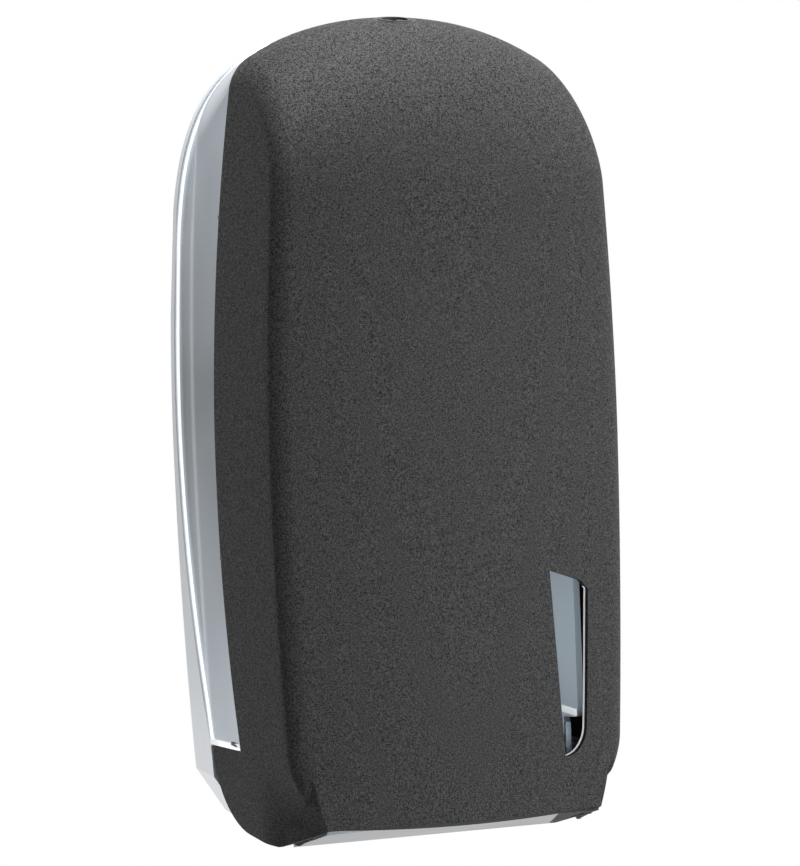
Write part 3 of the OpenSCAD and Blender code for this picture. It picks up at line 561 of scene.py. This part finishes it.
def moulded(name, dark, light, rough, metal=0.0, grain=0.3):
    # Moulded plastic or metal with a fine surface grain
    material, tree, output = new_finish(name)
    place = add_node(tree, "ShaderNodeTexCoord")
    fine = add_node(
        tree, "ShaderNodeTexNoise", Vector=(place, 3), Scale=per_mm(grain), Detail=3.0, Roughness=0.6
    )
    broad = add_node(
        tree, "ShaderNodeTexNoise", Vector=(place, 3), Scale=per_mm(30), Detail=2.0, Roughness=0.5
    )
    shade = blend_colours(tree, (broad, 0), dark, light)
    bump = add_node(tree, "ShaderNodeBump", Strength=0.1, Distance=0.00006, Height=(fine, 0))
    spread = add_node(
        tree, "ShaderNodeMapRange", Value=(fine, 0), To_Min=rough - 0.05, To_Max=rough + 0.05
    )
    shader = add_node(
        tree,
        "ShaderNodeBsdfPrincipled",
        Base_Color=shade,
        Metallic=metal,
        Roughness=(spread, 0),
        Normal=(bump, 0),
    )
    tree.links.new(shader.outputs[0], output.inputs[0])
    return material


def clear_plastic():
    # Clear styrene-acrylonitrile window: polished, faintly blue
    material, tree, output = new_finish("clear_SAN_window")
    shader = add_node(
        tree,
        "ShaderNodeBsdfPrincipled",
        Base_Color=colour("#F4F8FA"),
        Roughness=0.0,
        IOR=1.08,
        Transmission_Weight=1.0,
    )
    # Light on its way to the magazine walls passes straight through the thin pane
    path = add_node(tree, "ShaderNodeLightPath")
    through = add_node(tree, "ShaderNodeBsdfTransparent", Color=colour("#F4F8FA"))
    mix = add_node(tree, "ShaderNodeMixShader", _0=(path, "Is Shadow Ray"), _1=(shader, 0), _2=(through, 0))
    tree.links.new(mix.outputs[0], output.inputs[0])
    return material


FILM = heathered_film()
# The band's colour changes with height, which paints its reflection
BAND_SILVER = painted_silver("silver_lacquered_ABS_cover", "#4C5B68", "#ACB9C5", 0.3, level=(0.01, 0.11))
# The cover's inside, seen through the window, is coloured black
INSIDE_BLACK = moulded("black_ABS_inside_of_cover", "#0D0D0E", "#161718", 0.6)
PLATE_SILVER = painted_silver("silver_lacquered_ABS_back", "#EAF0F5", "#EEF3F7", 0.3, metal=0.6)
# The narrow bright edges are lit by an emission, which stands in for their glint
EDGE_SHADES = ("#F2F4F5", "#FFFFFF")
RIM_WHITE = painted_silver("silver_lacquer_edge_painted_glint", *EDGE_SHADES, 0.18, metal=0.6, painted_glint=0.4)
BEAD_WHITE = painted_silver("silver_lacquer_bead_painted_glint", *EDGE_SHADES, 0.18, metal=0.6, painted_glint=0.85)
LIP_SILVER = painted_silver("silver_lacquered_ABS_lip", "#7A8289", "#969DA4", 0.3, metal=0.5, coat=0.0)
PANEL_GREY = painted_silver("grey_lacquered_ABS_magazine", "#A9B4BD", "#AFB9C2", 0.42, metal=0.1)
BLACK_ABS = moulded("black_moulded_ABS", "#0B0B0C", "#141415", 0.45)
POST_GREY = moulded("grey_moulded_ABS_post", "#3A424A", "#48515A", 0.5)
# The turned-under edge is darker than the film: painted shade under the front edge
SHADED_EDGE = moulded("film_wrapped_edge_painted_shade", "#151516", "#1E1E1F", 0.7)
CLEAR = clear_plastic()
LOCK_FINISH = moulded("dark_plated_zinc_lock", "#232324", "#2C2C2D", 0.5, metal=0.2, grain=0.8)
PLUG_FINISH = moulded("blackened_zinc_plug", "#0C0C0D", "#161617", 0.4, metal=0.5)
ZINC = moulded("zinc_plated_steel", "#A9ADB0", "#C0C3C5", 0.32, metal=1.0, grain=1.2)
PIN_STEEL = moulded("ground_steel_pin", "#B4B7BA", "#C6C8CA", 0.2, metal=1.0, grain=0.6)
SCREW_STEEL = moulded("blue_zinc_screw", "#9DA3A8", "#B8BDC1", 0.28, metal=1.0, grain=0.6)

NODE_FINISH = {
    "back_plate": PLATE_SILVER,
    "magazine_wall_left": PANEL_GREY,
    "magazine_wall_right": PANEL_GREY,
    "outlet_tray": BLACK_ABS,
    "lock_keeper": ZINC,
    "magazine_screws": SCREW_STEEL,
    "tray_screws": SCREW_STEEL,
    "keeper_screws": SCREW_STEEL,
    "hinge_pin_left": PIN_STEEL,
    "hinge_pin_right": PIN_STEEL,
    "cover_carcase": BAND_SILVER,
    "front_skin": FILM,
    "window_lens": CLEAR,
    "hinge_bush_left": BLACK_ABS,
    "hinge_bush_right": BLACK_ABS,
    "lock_housing": LOCK_FINISH,
    "lock_nut": ZINC,
    "lock_plug": PLUG_FINISH,
    "lock_cam": ZINC,
    "cam_screw": SCREW_STEEL,
}
for name, finish in NODE_FINISH.items():
    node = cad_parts[name]
    node.data.materials.clear()
    node.data.materials.append(finish)

# ---------------------------------------------------------------- front skin
lock_station = nose_station(LOCK_AT, 0)
lock_axis = Vector((0, -math.cos(lock_station[2]), math.sin(lock_station[2])))
lock_place = (0, lock_station[0], lock_station[1])


def lock_bore(radius, low, high):
    return turned([(0, low), (radius, low), (radius, high), (0, high)], lock_place, lock_axis, 72)


def front_skin():
    skin = meshed("front_skin_shell", walled(cover_rows(0, BACK_Y), cover_rows(SKIN_T, BACK_Y)))
    outline = lobe_foot(0, FRONT_EDGE_Z) + [(FAR, FAR)] + SKIN_EDGE_LINE + [(LOBE_REAR_Y, STEP_Z - STEP_FALL)]
    steps = [
        ("INTERSECT", across(outline)),
        ("DIFFERENCE", forward(window_blade(0), COVER_D / 2, FAR)),
        ("DIFFERENCE", lock_bore(LOCK_R + 0.1, -10, 10)),
    ]
    for z in NOTCH_LEVELS:
        notch = (0, -skin_edge(z) - NOTCH_H / 2, z + NOTCH_H / 2)
        steps.append(("DIFFERENCE", slab(notch, (2 * FAR, NOTCH_D, NOTCH_H))))
        # A black block fills each notch, which paints the shade in it
        for side in (-1, 1):
            notch_shade = slab((side * (half_w(z) - 0.75), notch[1] + 0.5, notch[2]), (1, 4.2, 1.2))
            name = sided("skin_notch_shade", side) + f"_{z:.0f}"
            fitted(meshed(name, notch_shade), "cover", BLACK_ABS, "black_plastic")
    return fitted(cut(skin, *steps, angle=18), "cover", FILM, "dark_film", "front_skin")


# ---------------------------------------------------------------- carcase
CORNER_COLUMNS = EDGE_COLUMNS + FRONT_COLUMNS
CORNER_T = [k * COLUMN_STEP for k in range(int(CORNER_COLUMNS / COLUMN_STEP) + 1)]


def arch_point(degrees, out):
    c, s = max(0.0, math.cos(math.radians(degrees))), math.sin(math.radians(degrees))
    z = ARCH_Z + (COVER_H + out - ARCH_Z) * s ** (2 / ARCH_RISE_POWER)
    return ((half_w(z) + out) * c ** (2 / ARCH_POWER), z)


def front_corner(inset):
    """The cover's shoulder where its sheet ends at the top."""
    row = cover_row(nose_station(90, inset), inset, 0)
    last = len(row) - 1 - FILLET - 1
    return [(row[last - k][0], row[last - k][2]) for k in range(len(CORNER_T))]


def wide_corner(inset):
    """The fuller shoulder further back."""
    w, h = half_w(SHOULDER_Z) - inset, COVER_H - inset - SHOULDER_Z
    turns = [math.radians(90 * t / CORNER_COLUMNS) for t in CORNER_T]
    return [
        (w * max(0.0, math.cos(b)) ** CORNER_POWER, SHOULDER_Z + h * math.sin(b) ** CORNER_POWER)
        for b in turns
    ]


def arch_half_w(z, out):
    rise = max(0, z - ARCH_Z) / (COVER_H - ARCH_Z)
    return (half_w(z) + out) * (1 - rise**ARCH_RISE_POWER) ** (1 / ARCH_POWER)


def blended(share, from_line, to_line):
    return [
        ((1 - share) * a[0] + share * b[0], (1 - share) * a[1] + share * b[1])
        for a, b in zip(from_line, to_line)
    ]


def band_half(s, q, inset):
    """Half an arch of the band: s widens its shoulder, q turns it into the rear arch."""
    foot = STEP_Z - STEP_FALL - 8
    out = -inset - COVE_IN
    corner = blended(s, front_corner(inset), wide_corner(inset))
    arch = [arch_point(ARCH_START + (90 - ARCH_START) * t / CORNER_COLUMNS, out) for t in CORNER_T]
    straight = [foot + (corner[0][1] - foot) * k / BAND_ROWS for k in range(BAND_ROWS)]
    arched = [foot + (arch[0][1] - foot) * k / BAND_ROWS for k in range(BAND_ROWS)]
    front = [(half_w(z) - inset, z) for z in straight] + corner
    rear = [(arch_half_w(z, out), z) for z in arched] + arch
    return blended(q, front, rear)


def band_rows(inset):
    start = -NOSE_Y - 5
    shares = [k / PLAN_ROWS for k in range(PLAN_ROWS + 1)]
    plan = [(-NOSE_Y + 8, 0, 0)]
    plan += [(start - s * (start - COVE_Y - 3), s, 0) for s in shares]
    plan += [(COVE_Y - u * COVE_W, 1, u**2 * (3 - 2 * u)) for u in shares]
    plan += [(-1, 1, 1)]
    rows = []
    for y, s, q in plan:
        half = band_half(s, q, inset)
        rows.append([(-x, -y, z) for x, z in half] + [(x, -y, z) for x, z in half[-2::-1]])
    return rows


def silver_band():
    band = meshed("silver_side_band", walled(band_rows(BAND_IN), band_rows(BAND_IN + CARCASE_T + 0.4)))
    outline = [(y - 0.15, z + 0.2) for y, z in SKIN_EDGE_LINE]
    outline += [(rim_edge(z), z) for z in levels(RIM_FOOT_Z, RIM_SWEEP_Z, 30)] + [(RIM_Y, COVER_H + 8)]
    band = cut(band, ("INTERSECT", across(outline)), angle=34)
    return fitted(band, "cover", BAND_SILVER, "cover_silver", "cover_carcase")


def carcase_shell():
    rows_out, rows_in = cover_rows(CARCASE_IN, BACK_Y), cover_rows(CARCASE_IN + CARCASE_T, BACK_Y)
    shell = meshed("carcase_inner_shell", walled(rows_out, rows_in))
    outline = lobe_foot(1.2, FRONT_EDGE_Z + 0.2) + [(FAR, FAR)]
    outline += [(y - 3, z) for y, z in SKIN_EDGE_LINE] + [(LOBE_REAR_Y + 1.2, STEP_Z - STEP_FALL)]
    steps = [
        ("INTERSECT", across(outline)),
        ("DIFFERENCE", forward(window_blade(0.1), COVER_D / 2, FAR)),
        ("DIFFERENCE", lock_bore(LOCK_BORE_R, -30, 30)),
    ]
    return fitted(cut(shell, *steps), "cover", INSIDE_BLACK, "cover_silver", "cover_carcase")


def sill(side):
    edge = skin_edge(STEP_Z) - 1.5
    rear = LOBE_REAR_Y - 1
    x0, x1 = half_w(STEP_Z) - BAND_IN - 1.5, half_w(STEP_Z) - BAND_IN + SILL_OUT
    foot, heel = STEP_Z + 0.3, step_level(rear) + 0.3
    outline = [(edge, foot), (rear, heel), (rear, heel + SILL_H), (edge, foot + SILL_H)]
    bar = rounded(across(outline, *sorted((side * x0, side * x1))), 0.35)
    obj = meshed(sided("sill", side), bar)
    slot_y, slot_z = -skin_edge(STEP_Z) + SLOT_START + SLOT_L / 2, STEP_Z + SLOT_RISE
    slot = slab((side * half_w(STEP_Z), slot_y, slot_z), (4.4, SLOT_L, 1))
    # A black block in the slot paints the shade in it
    slot_shade_block = slab((side * (x1 - 0.9), slot_y, slot_z), (1.4, SLOT_L + 1, 1.3))
    slot_shade_piece = meshed(sided("sill_slot_shade", side), slot_shade_block)
    fitted(slot_shade_piece, "cover", BLACK_ABS, "cover_silver", "cover_carcase")
    # The bar glows, which paints a highlight on it
    return fitted(cut(obj, ("DIFFERENCE", slot)), "cover", RIM_WHITE, "cover_silver", "cover_carcase")


def front_arc(w, inset, t):
    """The front's curve in plan at its lower edge, with a thickness behind it."""
    y = front_station(FRONT_EDGE_Z, inset)[0]
    xs = [w * k / ARC_STEPS for k in range(-ARC_STEPS, ARC_STEPS + 1)]
    outer = [(x, y + crown(abs(x), 0, inset)) for x in xs]
    return outer + [(x, yy + t) for x, yy in reversed(outer)]


LIP_CORNER_W, LIP_REAR_Y = 14, -99


def front_lip():
    """The carcase's lower edge: a strip that falls from the front edge to the foot of the lobes."""
    left, right = FOLD_W + 0.3 - half_w(FRONT_EDGE_Z), half_w(FRONT_EDGE_Z) - FOLD_W - 3
    arc = front_arc(-left, SKIN_T + 0.3, 0)[: 2 * ARC_STEPS + 1]
    bare = [p for p in arc if p[0] < right - LIP_CORNER_W]
    covered = [p for p in arc if p[0] > right - LIP_CORNER_W - 0.2]
    bare += [(right, LIP_REAR_Y), (left, LIP_REAR_Y)]
    # The sheet turns in over the strip's right-hand corner
    covered += [(right + 2.7, LIP_REAR_Y), (right + 0.2, LIP_REAR_Y)]
    strips = (
        ("front_lip", bare, LIP_SILVER, "cover_silver", "cover_carcase"),
        ("front_lip_corner", covered, FILM, "dark_film", "front_skin"),
    )
    for name, plan, finish, slot, node in strips:
        strip = prism([(x, y, -9) for x, y in plan], (0, 0, 16))
        fall = across([(156, 5.4), (99, -8.8), (98, -8.8), (98, -7), (156, 7.2)])
        fitted(cut(meshed(name, strip, 40), ("INTERSECT", fall)), "cover", finish, slot, node)


def lobe_cheek(side):
    """Inner face of a lobe, covered with the same sheet as the front."""
    x1 = half_w(FRONT_EDGE_Z) - FOLD_W
    x0 = x1 - (0.8 if side < 0 else 3.2)
    foot, bend = (-7.3, 1.4) if side < 0 else (-6.7, 0)
    outline = [(144.5, 4.2), (136, bend), (106, foot), (90, foot), (90, -3.6), (144.5, 7.4)]
    cheek = across(outline, *sorted((side * x0, side * x1)))
    return fitted(meshed(sided("lobe_cheek", side), cheek), "cover", FILM, "dark_film", "front_skin")


def lower_edge():
    """The sheet turned under the front edge, coloured darker than the film, which paints the shade under the
    edge.
    """
    arc = front_arc(half_w(FRONT_EDGE_Z) - FOLD_W - 0.6, 0.35, 1.5)
    edge = prism([(x, y, FRONT_EDGE_Z - 1.4) for x, y in arc], (0, 0, 1.9))
    for v in edge.verts:
        if v.co.z < (FRONT_EDGE_Z - MOUNT_LEVEL) / 1000:
            v.co.z += 0.0013 * min(1, abs(v.co.x) / 0.05) ** 2
    return fitted(meshed("skin_lower_edge", edge, 40), "cover", SHADED_EDGE, "dark_film", "front_skin")


def rim_x(z, y):
    u = min(1, max(0, (COVE_Y - y) / COVE_W))
    q = u * u * (3 - 2 * u)
    return (1 - q) * (half_w(z) - BAND_IN) + q * arch_half_w(z, -BAND_IN - COVE_IN)


def rim_bead():
    """Rolled edge of the carcase, next to the back plate; it glows, which paints its highlight."""
    heights = levels(ARCH_Z - 8, RIM_FOOT_Z + 0.5, 36)[::-1]
    half = [(rim_x(z, rim_edge(z)) + BEAD_OUT, rim_edge(z), z) for z in heights]
    out = BEAD_OUT - BAND_IN - COVE_IN
    arch = [arch_point(a, out) for a in range(4, 90, 2)] + [(0, COVER_H + out)]
    half += [(x, RIM_Y, z) for x, z in arch if z > ARCH_Z - 6]
    half = [(x, y + 0.3, z) for x, y, z in half]
    path = half + [(-x, y, z) for x, y, z in half[-2::-1]]
    turns = [math.tau * t / BEAD_SIDES for t in range(BEAD_SIDES + 1)]
    ring = [(math.cos(a), math.sin(a)) for a in turns]
    rows = [[path[0]] * len(ring)]
    for k, (x, y, z) in enumerate(path):
        before, after = path[max(0, k - 1)], path[min(len(path) - 1, k + 1)]
        along = Vector((after[0] - before[0], after[2] - before[2])).normalized()
        rows.append([(x + BEAD_R * c * along.y, y + BEAD_R * s, z - BEAD_R * c * along.x) for c, s in ring])
    rows.append([path[-1]] * len(ring))
    bm = bmesh.new()
    grid_through(bm, [[(x, -y, z) for x, y, z in row] for row in rows])
    bmesh.ops.remove_doubles(bm, verts=bm.verts, dist=WELD)
    bmesh.ops.recalc_face_normals(bm, faces=bm.faces)
    return fitted(meshed("rim_bead", bm, 60), "cover", BEAD_WHITE, "cover_silver", "cover_carcase")


HINGE_Y, HINGE_Z, PIN_R = 50, 9, 2.5
BUSH_R = PIN_R + 0.05 + 1.6
HINGE_HALF_W = half_w(HINGE_Z) - CARCASE_IN - CARCASE_T
WALL_X = HINGE_HALF_W - 4.5 - 2.4


def hinge_boss(side):
    x0, x1 = WALL_X + 3.4, HINGE_HALF_W + 1.2
    length = x1 - x0
    profile = [
        (BUSH_R, 0.4),
        (BUSH_R + 0.4, 0),
        (BUSH_R + 2.6, 0),
        (BUSH_R + 3, 0.4),
        (BUSH_R + 3, length),
        (BUSH_R, length),
    ]
    boss = turned(profile, (side * x0, -HINGE_Y, HINGE_Z), (side, 0, 0))
    boss = meshed(sided("hinge_boss", side), boss)
    return fitted(boss, "cover", INSIDE_BLACK, "cover_silver", "cover_carcase")


def lock_pad():
    """Ring under the crown that carries the lock."""
    foot = -CARCASE_IN - CARCASE_T - 2
    head = 0.28 * foot - 0.9
    profile = [
        (LOCK_BORE_R, foot),
        (LOCK_PAD_R - 0.4, foot),
        (LOCK_PAD_R, foot + 0.4),
        (LOCK_PAD_R, head),
        (LOCK_BORE_R, head),
    ]
    pad = meshed("lock_pad", turned(profile, lock_place, lock_axis))
    return fitted(pad, "cover", INSIDE_BLACK, "cover_silver", "cover_carcase")


# ---------------------------------------------------------------- window
def window_bezel():
    """Lacquered edge of the carcase at the window's right side and foot; it glows, which paints a highlight
    there.
    """
    rows_out = cover_rows(CARCASE_IN + 0.8, COVER_D / 2)
    rows_in = cover_rows(CARCASE_IN + CARCASE_T + 0.1, COVER_D / 2)
    ring = meshed("window_bezel", walled(rows_out, rows_in))
    # Only the right side and the foot get the glowing edge, where it paints a highlight
    right_and_foot = [(38.6, 18), (56, 18), (56, 85.5), (45, 85.5), (45, 36), (38.6, 30)]
    steps = [
        ("INTERSECT", forward(window_blade(-0.3), COVER_D / 2, FAR)),
        ("INTERSECT", forward(right_and_foot, COVER_D / 2 - 5, FAR + 5)),
        ("DIFFERENCE", forward(window_blade(0.15), COVER_D / 2 - 5, FAR + 5)),
    ]
    return fitted(cut(ring, *steps), "cover", RIM_WHITE, "cover_silver", "cover_carcase")


def window_lens():
    lean = math.atan(FRONT_LEAN / NOSE_Z)
    arc = front_arc(WINDOW_X + WINDOW_W + 8, CARCASE_IN + CARCASE_T + 0.15, LENS_T)
    sheet = prism([(x, y, 0) for x, y in arc], (0, 0, WINDOW_Z + WINDOW_H + 20))
    hinge = metres(0, -COVER_D + FRONT_LEAN, 0)
    bmesh.ops.rotate(sheet, cent=hinge, matrix=Matrix.Rotation(lean, 3, "X"), verts=sheet.verts)
    outline = forward(window_blade(-LENS_LAP), COVER_D / 2, FAR)
    lens = cut(meshed("window_pane", sheet), ("INTERSECT", outline))
    return fitted(lens, "cover", CLEAR, "clear_lens", "window_lens")


def magazine_details():
    """Behind the window: a post on the tray's front, and a glowing strip on the wall's foot, which paints a
    highlight there.
    """
    for side in (-1, 1):
        post = rounded(slab((side * 43.7, -137.4, 24), (2.2, 1.6, 22)), 0.3)
        fitted(meshed(sided("tray_post", side), post), "base", POST_GREY, "black_plastic")
        # The strip glows, which paints a highlight on the wall's foot
        glint_strip = rounded(slab((side * (WALL_X - 0.1), -112, 36.4), (0.6, 28, 2.6)), 0.25)
        fitted(meshed(sided("wall_foot_glint", side), glint_strip), "base", RIM_WHITE, "grey_panel")


# ---------------------------------------------------------------- back plate
def base_outline(inset):
    out = PLATE_PROUD - inset
    half = [
        (half_w(CHAMFER_Z) + out - CHAMFER_W - 0.4 * inset, inset - PLATE_FOOT),
        (half_w(CHAMFER_Z) + out, CHAMFER_Z + 0.25 * inset),
    ]
    half += [(half_w(z) + out, z) for z in levels(CHAMFER_Z, ARCH_Z, 24)[1:]]
    half += [arch_point(a, out) for a in range(8, 90, 2)] + [(0, COVER_H + out)]
    return half + [(-x, z) for x, z in half[-2::-1]]


def rim_depth(z):
    return rim_edge(max(z, RIM_FOOT_Z)) - RIM_GAP


def back_plate():
    """A dished plate: rear face, rim out to the cover, wall back down, and the floor."""
    outer, inner = base_outline(0), base_outline(PLATE_RIM_T)
    bm = bmesh.new()
    rear = [bm.verts.new(metres(x, 0, z)) for x, z in outer]
    edges = [bm.edges.new((a, b)) for a, b in zip(rear, rear[1:] + rear[:1])]
    bmesh.ops.edgeloop_fill(bm, edges=edges)
    order = {v: k for k, v in enumerate(rear)}
    rings = [
        [(x, -rim_depth(z), z) for x, z in outer],
        [(x, -rim_depth(p[1]), z) for (x, z), p in zip(inner, outer)],
        [(x, -PLATE_T, z) for x, z in inner],
    ]
    for ring in rings:
        old = {v for e in edges for v in e.verts}
        grown = bmesh.ops.extrude_edge_only(bm, edges=edges)["geom"]
        edges = [g for g in grown if isinstance(g, bmesh.types.BMEdge) and all(v not in old for v in g.verts)]
        fresh = {v for e in edges for v in e.verts}
        next_order = {}
        for v in fresh:
            twin = next(e.other_vert(v) for e in v.link_edges if e.other_vert(v) in order)
            next_order[v] = order[twin]
        for v, k in next_order.items():
            v.co = metres(*ring[k])
        order = next_order
        edges = [e for e in edges if e.is_boundary]
    bmesh.ops.contextual_create(bm, geom=edges)
    bmesh.ops.recalc_face_normals(bm, faces=bm.faces)
    plate = meshed("back_plate_dished", bm, 24)
    steps = []
    boss = [(0, 1), (7, 1), (7, 4.2), (6.6, 4.6), (0, 4.6)]
    hole = [(0, -1), (WALL_SCREW_R, -1), (WALL_SCREW_R, 9), (0, 9)]
    for x in (-WALL_SCREW_X, WALL_SCREW_X):
        for z in (MOUNT_LEVEL - WALL_SCREW_Z, MOUNT_LEVEL + WALL_SCREW_Z):
            steps.append(("UNION", turned(boss, (x, 0, z), (0, -1, 0), 48)))
            steps.append(("DIFFERENCE", turned(hole, (x, 0, z), (0, -1, 0), 48)))
    return fitted(cut(plate, *steps, angle=24), "base", PLATE_SILVER, "silver", "back_plate")


front_skin()
silver_band()
carcase_shell()
for side in (-1, 1):
    sill(side)
    hinge_boss(side)
    lobe_cheek(side)
front_lip()
lower_edge()
rim_bead()
lock_pad()
window_bezel()
window_lens()
magazine_details()
back_plate()


# ---------------------------------------------------------------- floor, backdrop and light
# In metres; the floor lies far down, so that it hides nothing seen from below
FLOOR_LEVEL, FLOOR_HALF = -3.1, 20


def larger(tree, a, b):
    return add_node(tree, "ShaderNodeMath", {"operation": "MAXIMUM"}, _0=a, _1=b)


def seen_rays(tree, path):
    """1 for a ray that ends in the picture straight, by reflection or through the window."""
    seen = larger(tree, (path, "Is Camera Ray"), (path, "Is Glossy Ray"))
    return larger(tree, (seen, 0), (path, "Is Transmission Ray"))


def pale_floor():
    material, tree, output = new_finish("pale_floor")
    seen = seen_rays(tree, add_node(tree, "ShaderNodeLightPath"))
    matt = add_node(tree, "ShaderNodeBsdfDiffuse", Color=colour("#3A3A3A"))
    white = add_node(tree, "ShaderNodeEmission", Color=colour("#FFFFFF"), Strength=1.0)
    mix = add_node(tree, "ShaderNodeMixShader", _0=(seen, 0), _1=(matt, 0), _2=(white, 0))
    tree.links.new(mix.outputs[0], output.inputs[0])
    bm = bmesh.new()
    bmesh.ops.create_grid(bm, x_segments=1, y_segments=1, size=FLOOR_HALF)
    bmesh.ops.translate(bm, verts=bm.verts, vec=(0, 0, FLOOR_LEVEL))
    floor = meshed("floor", bm)
    floor.data.materials.append(material)


def white_room():
    world = bpy.data.worlds.new("white_room")
    bpy.context.scene.world = world
    world.use_nodes = True
    tree = world.node_tree
    tree.nodes.clear()
    output = tree.nodes.new("ShaderNodeOutputWorld")
    path = add_node(tree, "ShaderNodeLightPath")
    level = add_node(
        tree, "ShaderNodeMapRange", Value=(seen_rays(tree, path), 0), To_Min=0.5, To_Max=1.0
    )
    # A grey flag stands on the left of the set, so that side of the cover stays deeper
    split = add_node(tree, "ShaderNodeSeparateXYZ", Vector=(add_node(tree, "ShaderNodeTexCoord"), 0))
    flag = add_node(
        tree,
        "ShaderNodeMapRange",
        Value=(split, 0),
        From_Min=-0.6,
        From_Max=-0.05,
        To_Min=0.22,
        To_Max=1.0,
    )
    direct = larger(tree, (path, "Is Camera Ray"), (path, "Is Transmission Ray"))
    share = larger(tree, (flag, 0), (direct, 0))
    power = add_node(tree, "ShaderNodeMath", {"operation": "MULTIPLY"}, _0=(level, 0), _1=(share, 0))
    back = add_node(tree, "ShaderNodeBackground", Color=colour("#FFFFFF"), Strength=(power, 0))
    tree.links.new(back.outputs[0], output.inputs[0])


def soft_light(name, place, target, size, power, seen=True):
    """A rectangular lamp aimed at a point; an unseen one shows in no view or reflection."""
    data = bpy.data.lights.new(name, "AREA")
    data.shape, data.size, data.size_y, data.energy = "RECTANGLE", size[0], size[1], power
    lamp = bpy.data.objects.new(name, data)
    lamp.location = place
    lamp.rotation_euler = (Vector(target) - Vector(place)).to_track_quat("-Z", "Y").to_euler()
    lamp.visible_camera = lamp.visible_transmission = lamp.visible_glossy = seen
    bpy.context.scene.collection.objects.link(lamp)


pale_floor()
white_room()
UPPER_BODY = (0, -0.08, 0.05)
soft_light("overhead_softbox", (-0.1, 0.05, 1.1), UPPER_BODY, (0.9, 0.7), 16)
soft_light("front_softbox", (0.33, -1.6, 0.05), (0, -0.08, 0), (0.7, 0.9), 17)
soft_light("right_softbox", (1.1, -0.45, 0.45), UPPER_BODY, (0.5, 0.7), 10)
# Two small lamps inside the cover light the magazine wall behind the window
WINDOW_LEVEL = -0.085
wall_light = ((0.008, -0.108, WINDOW_LEVEL), (0.052, -0.108, WINDOW_LEVEL), (0.05, 0.08), 0.026)
edge_light = ((0.043, -0.1425, WINDOW_LEVEL), (0.053, -0.127, WINDOW_LEVEL), (0.006, 0.08), 0.004)
soft_light("magazine_fill", *wall_light, seen=False)
soft_light("magazine_edge_fill", *edge_light, seen=False)

scene = bpy.context.scene
scene.view_settings.view_transform = "Standard"

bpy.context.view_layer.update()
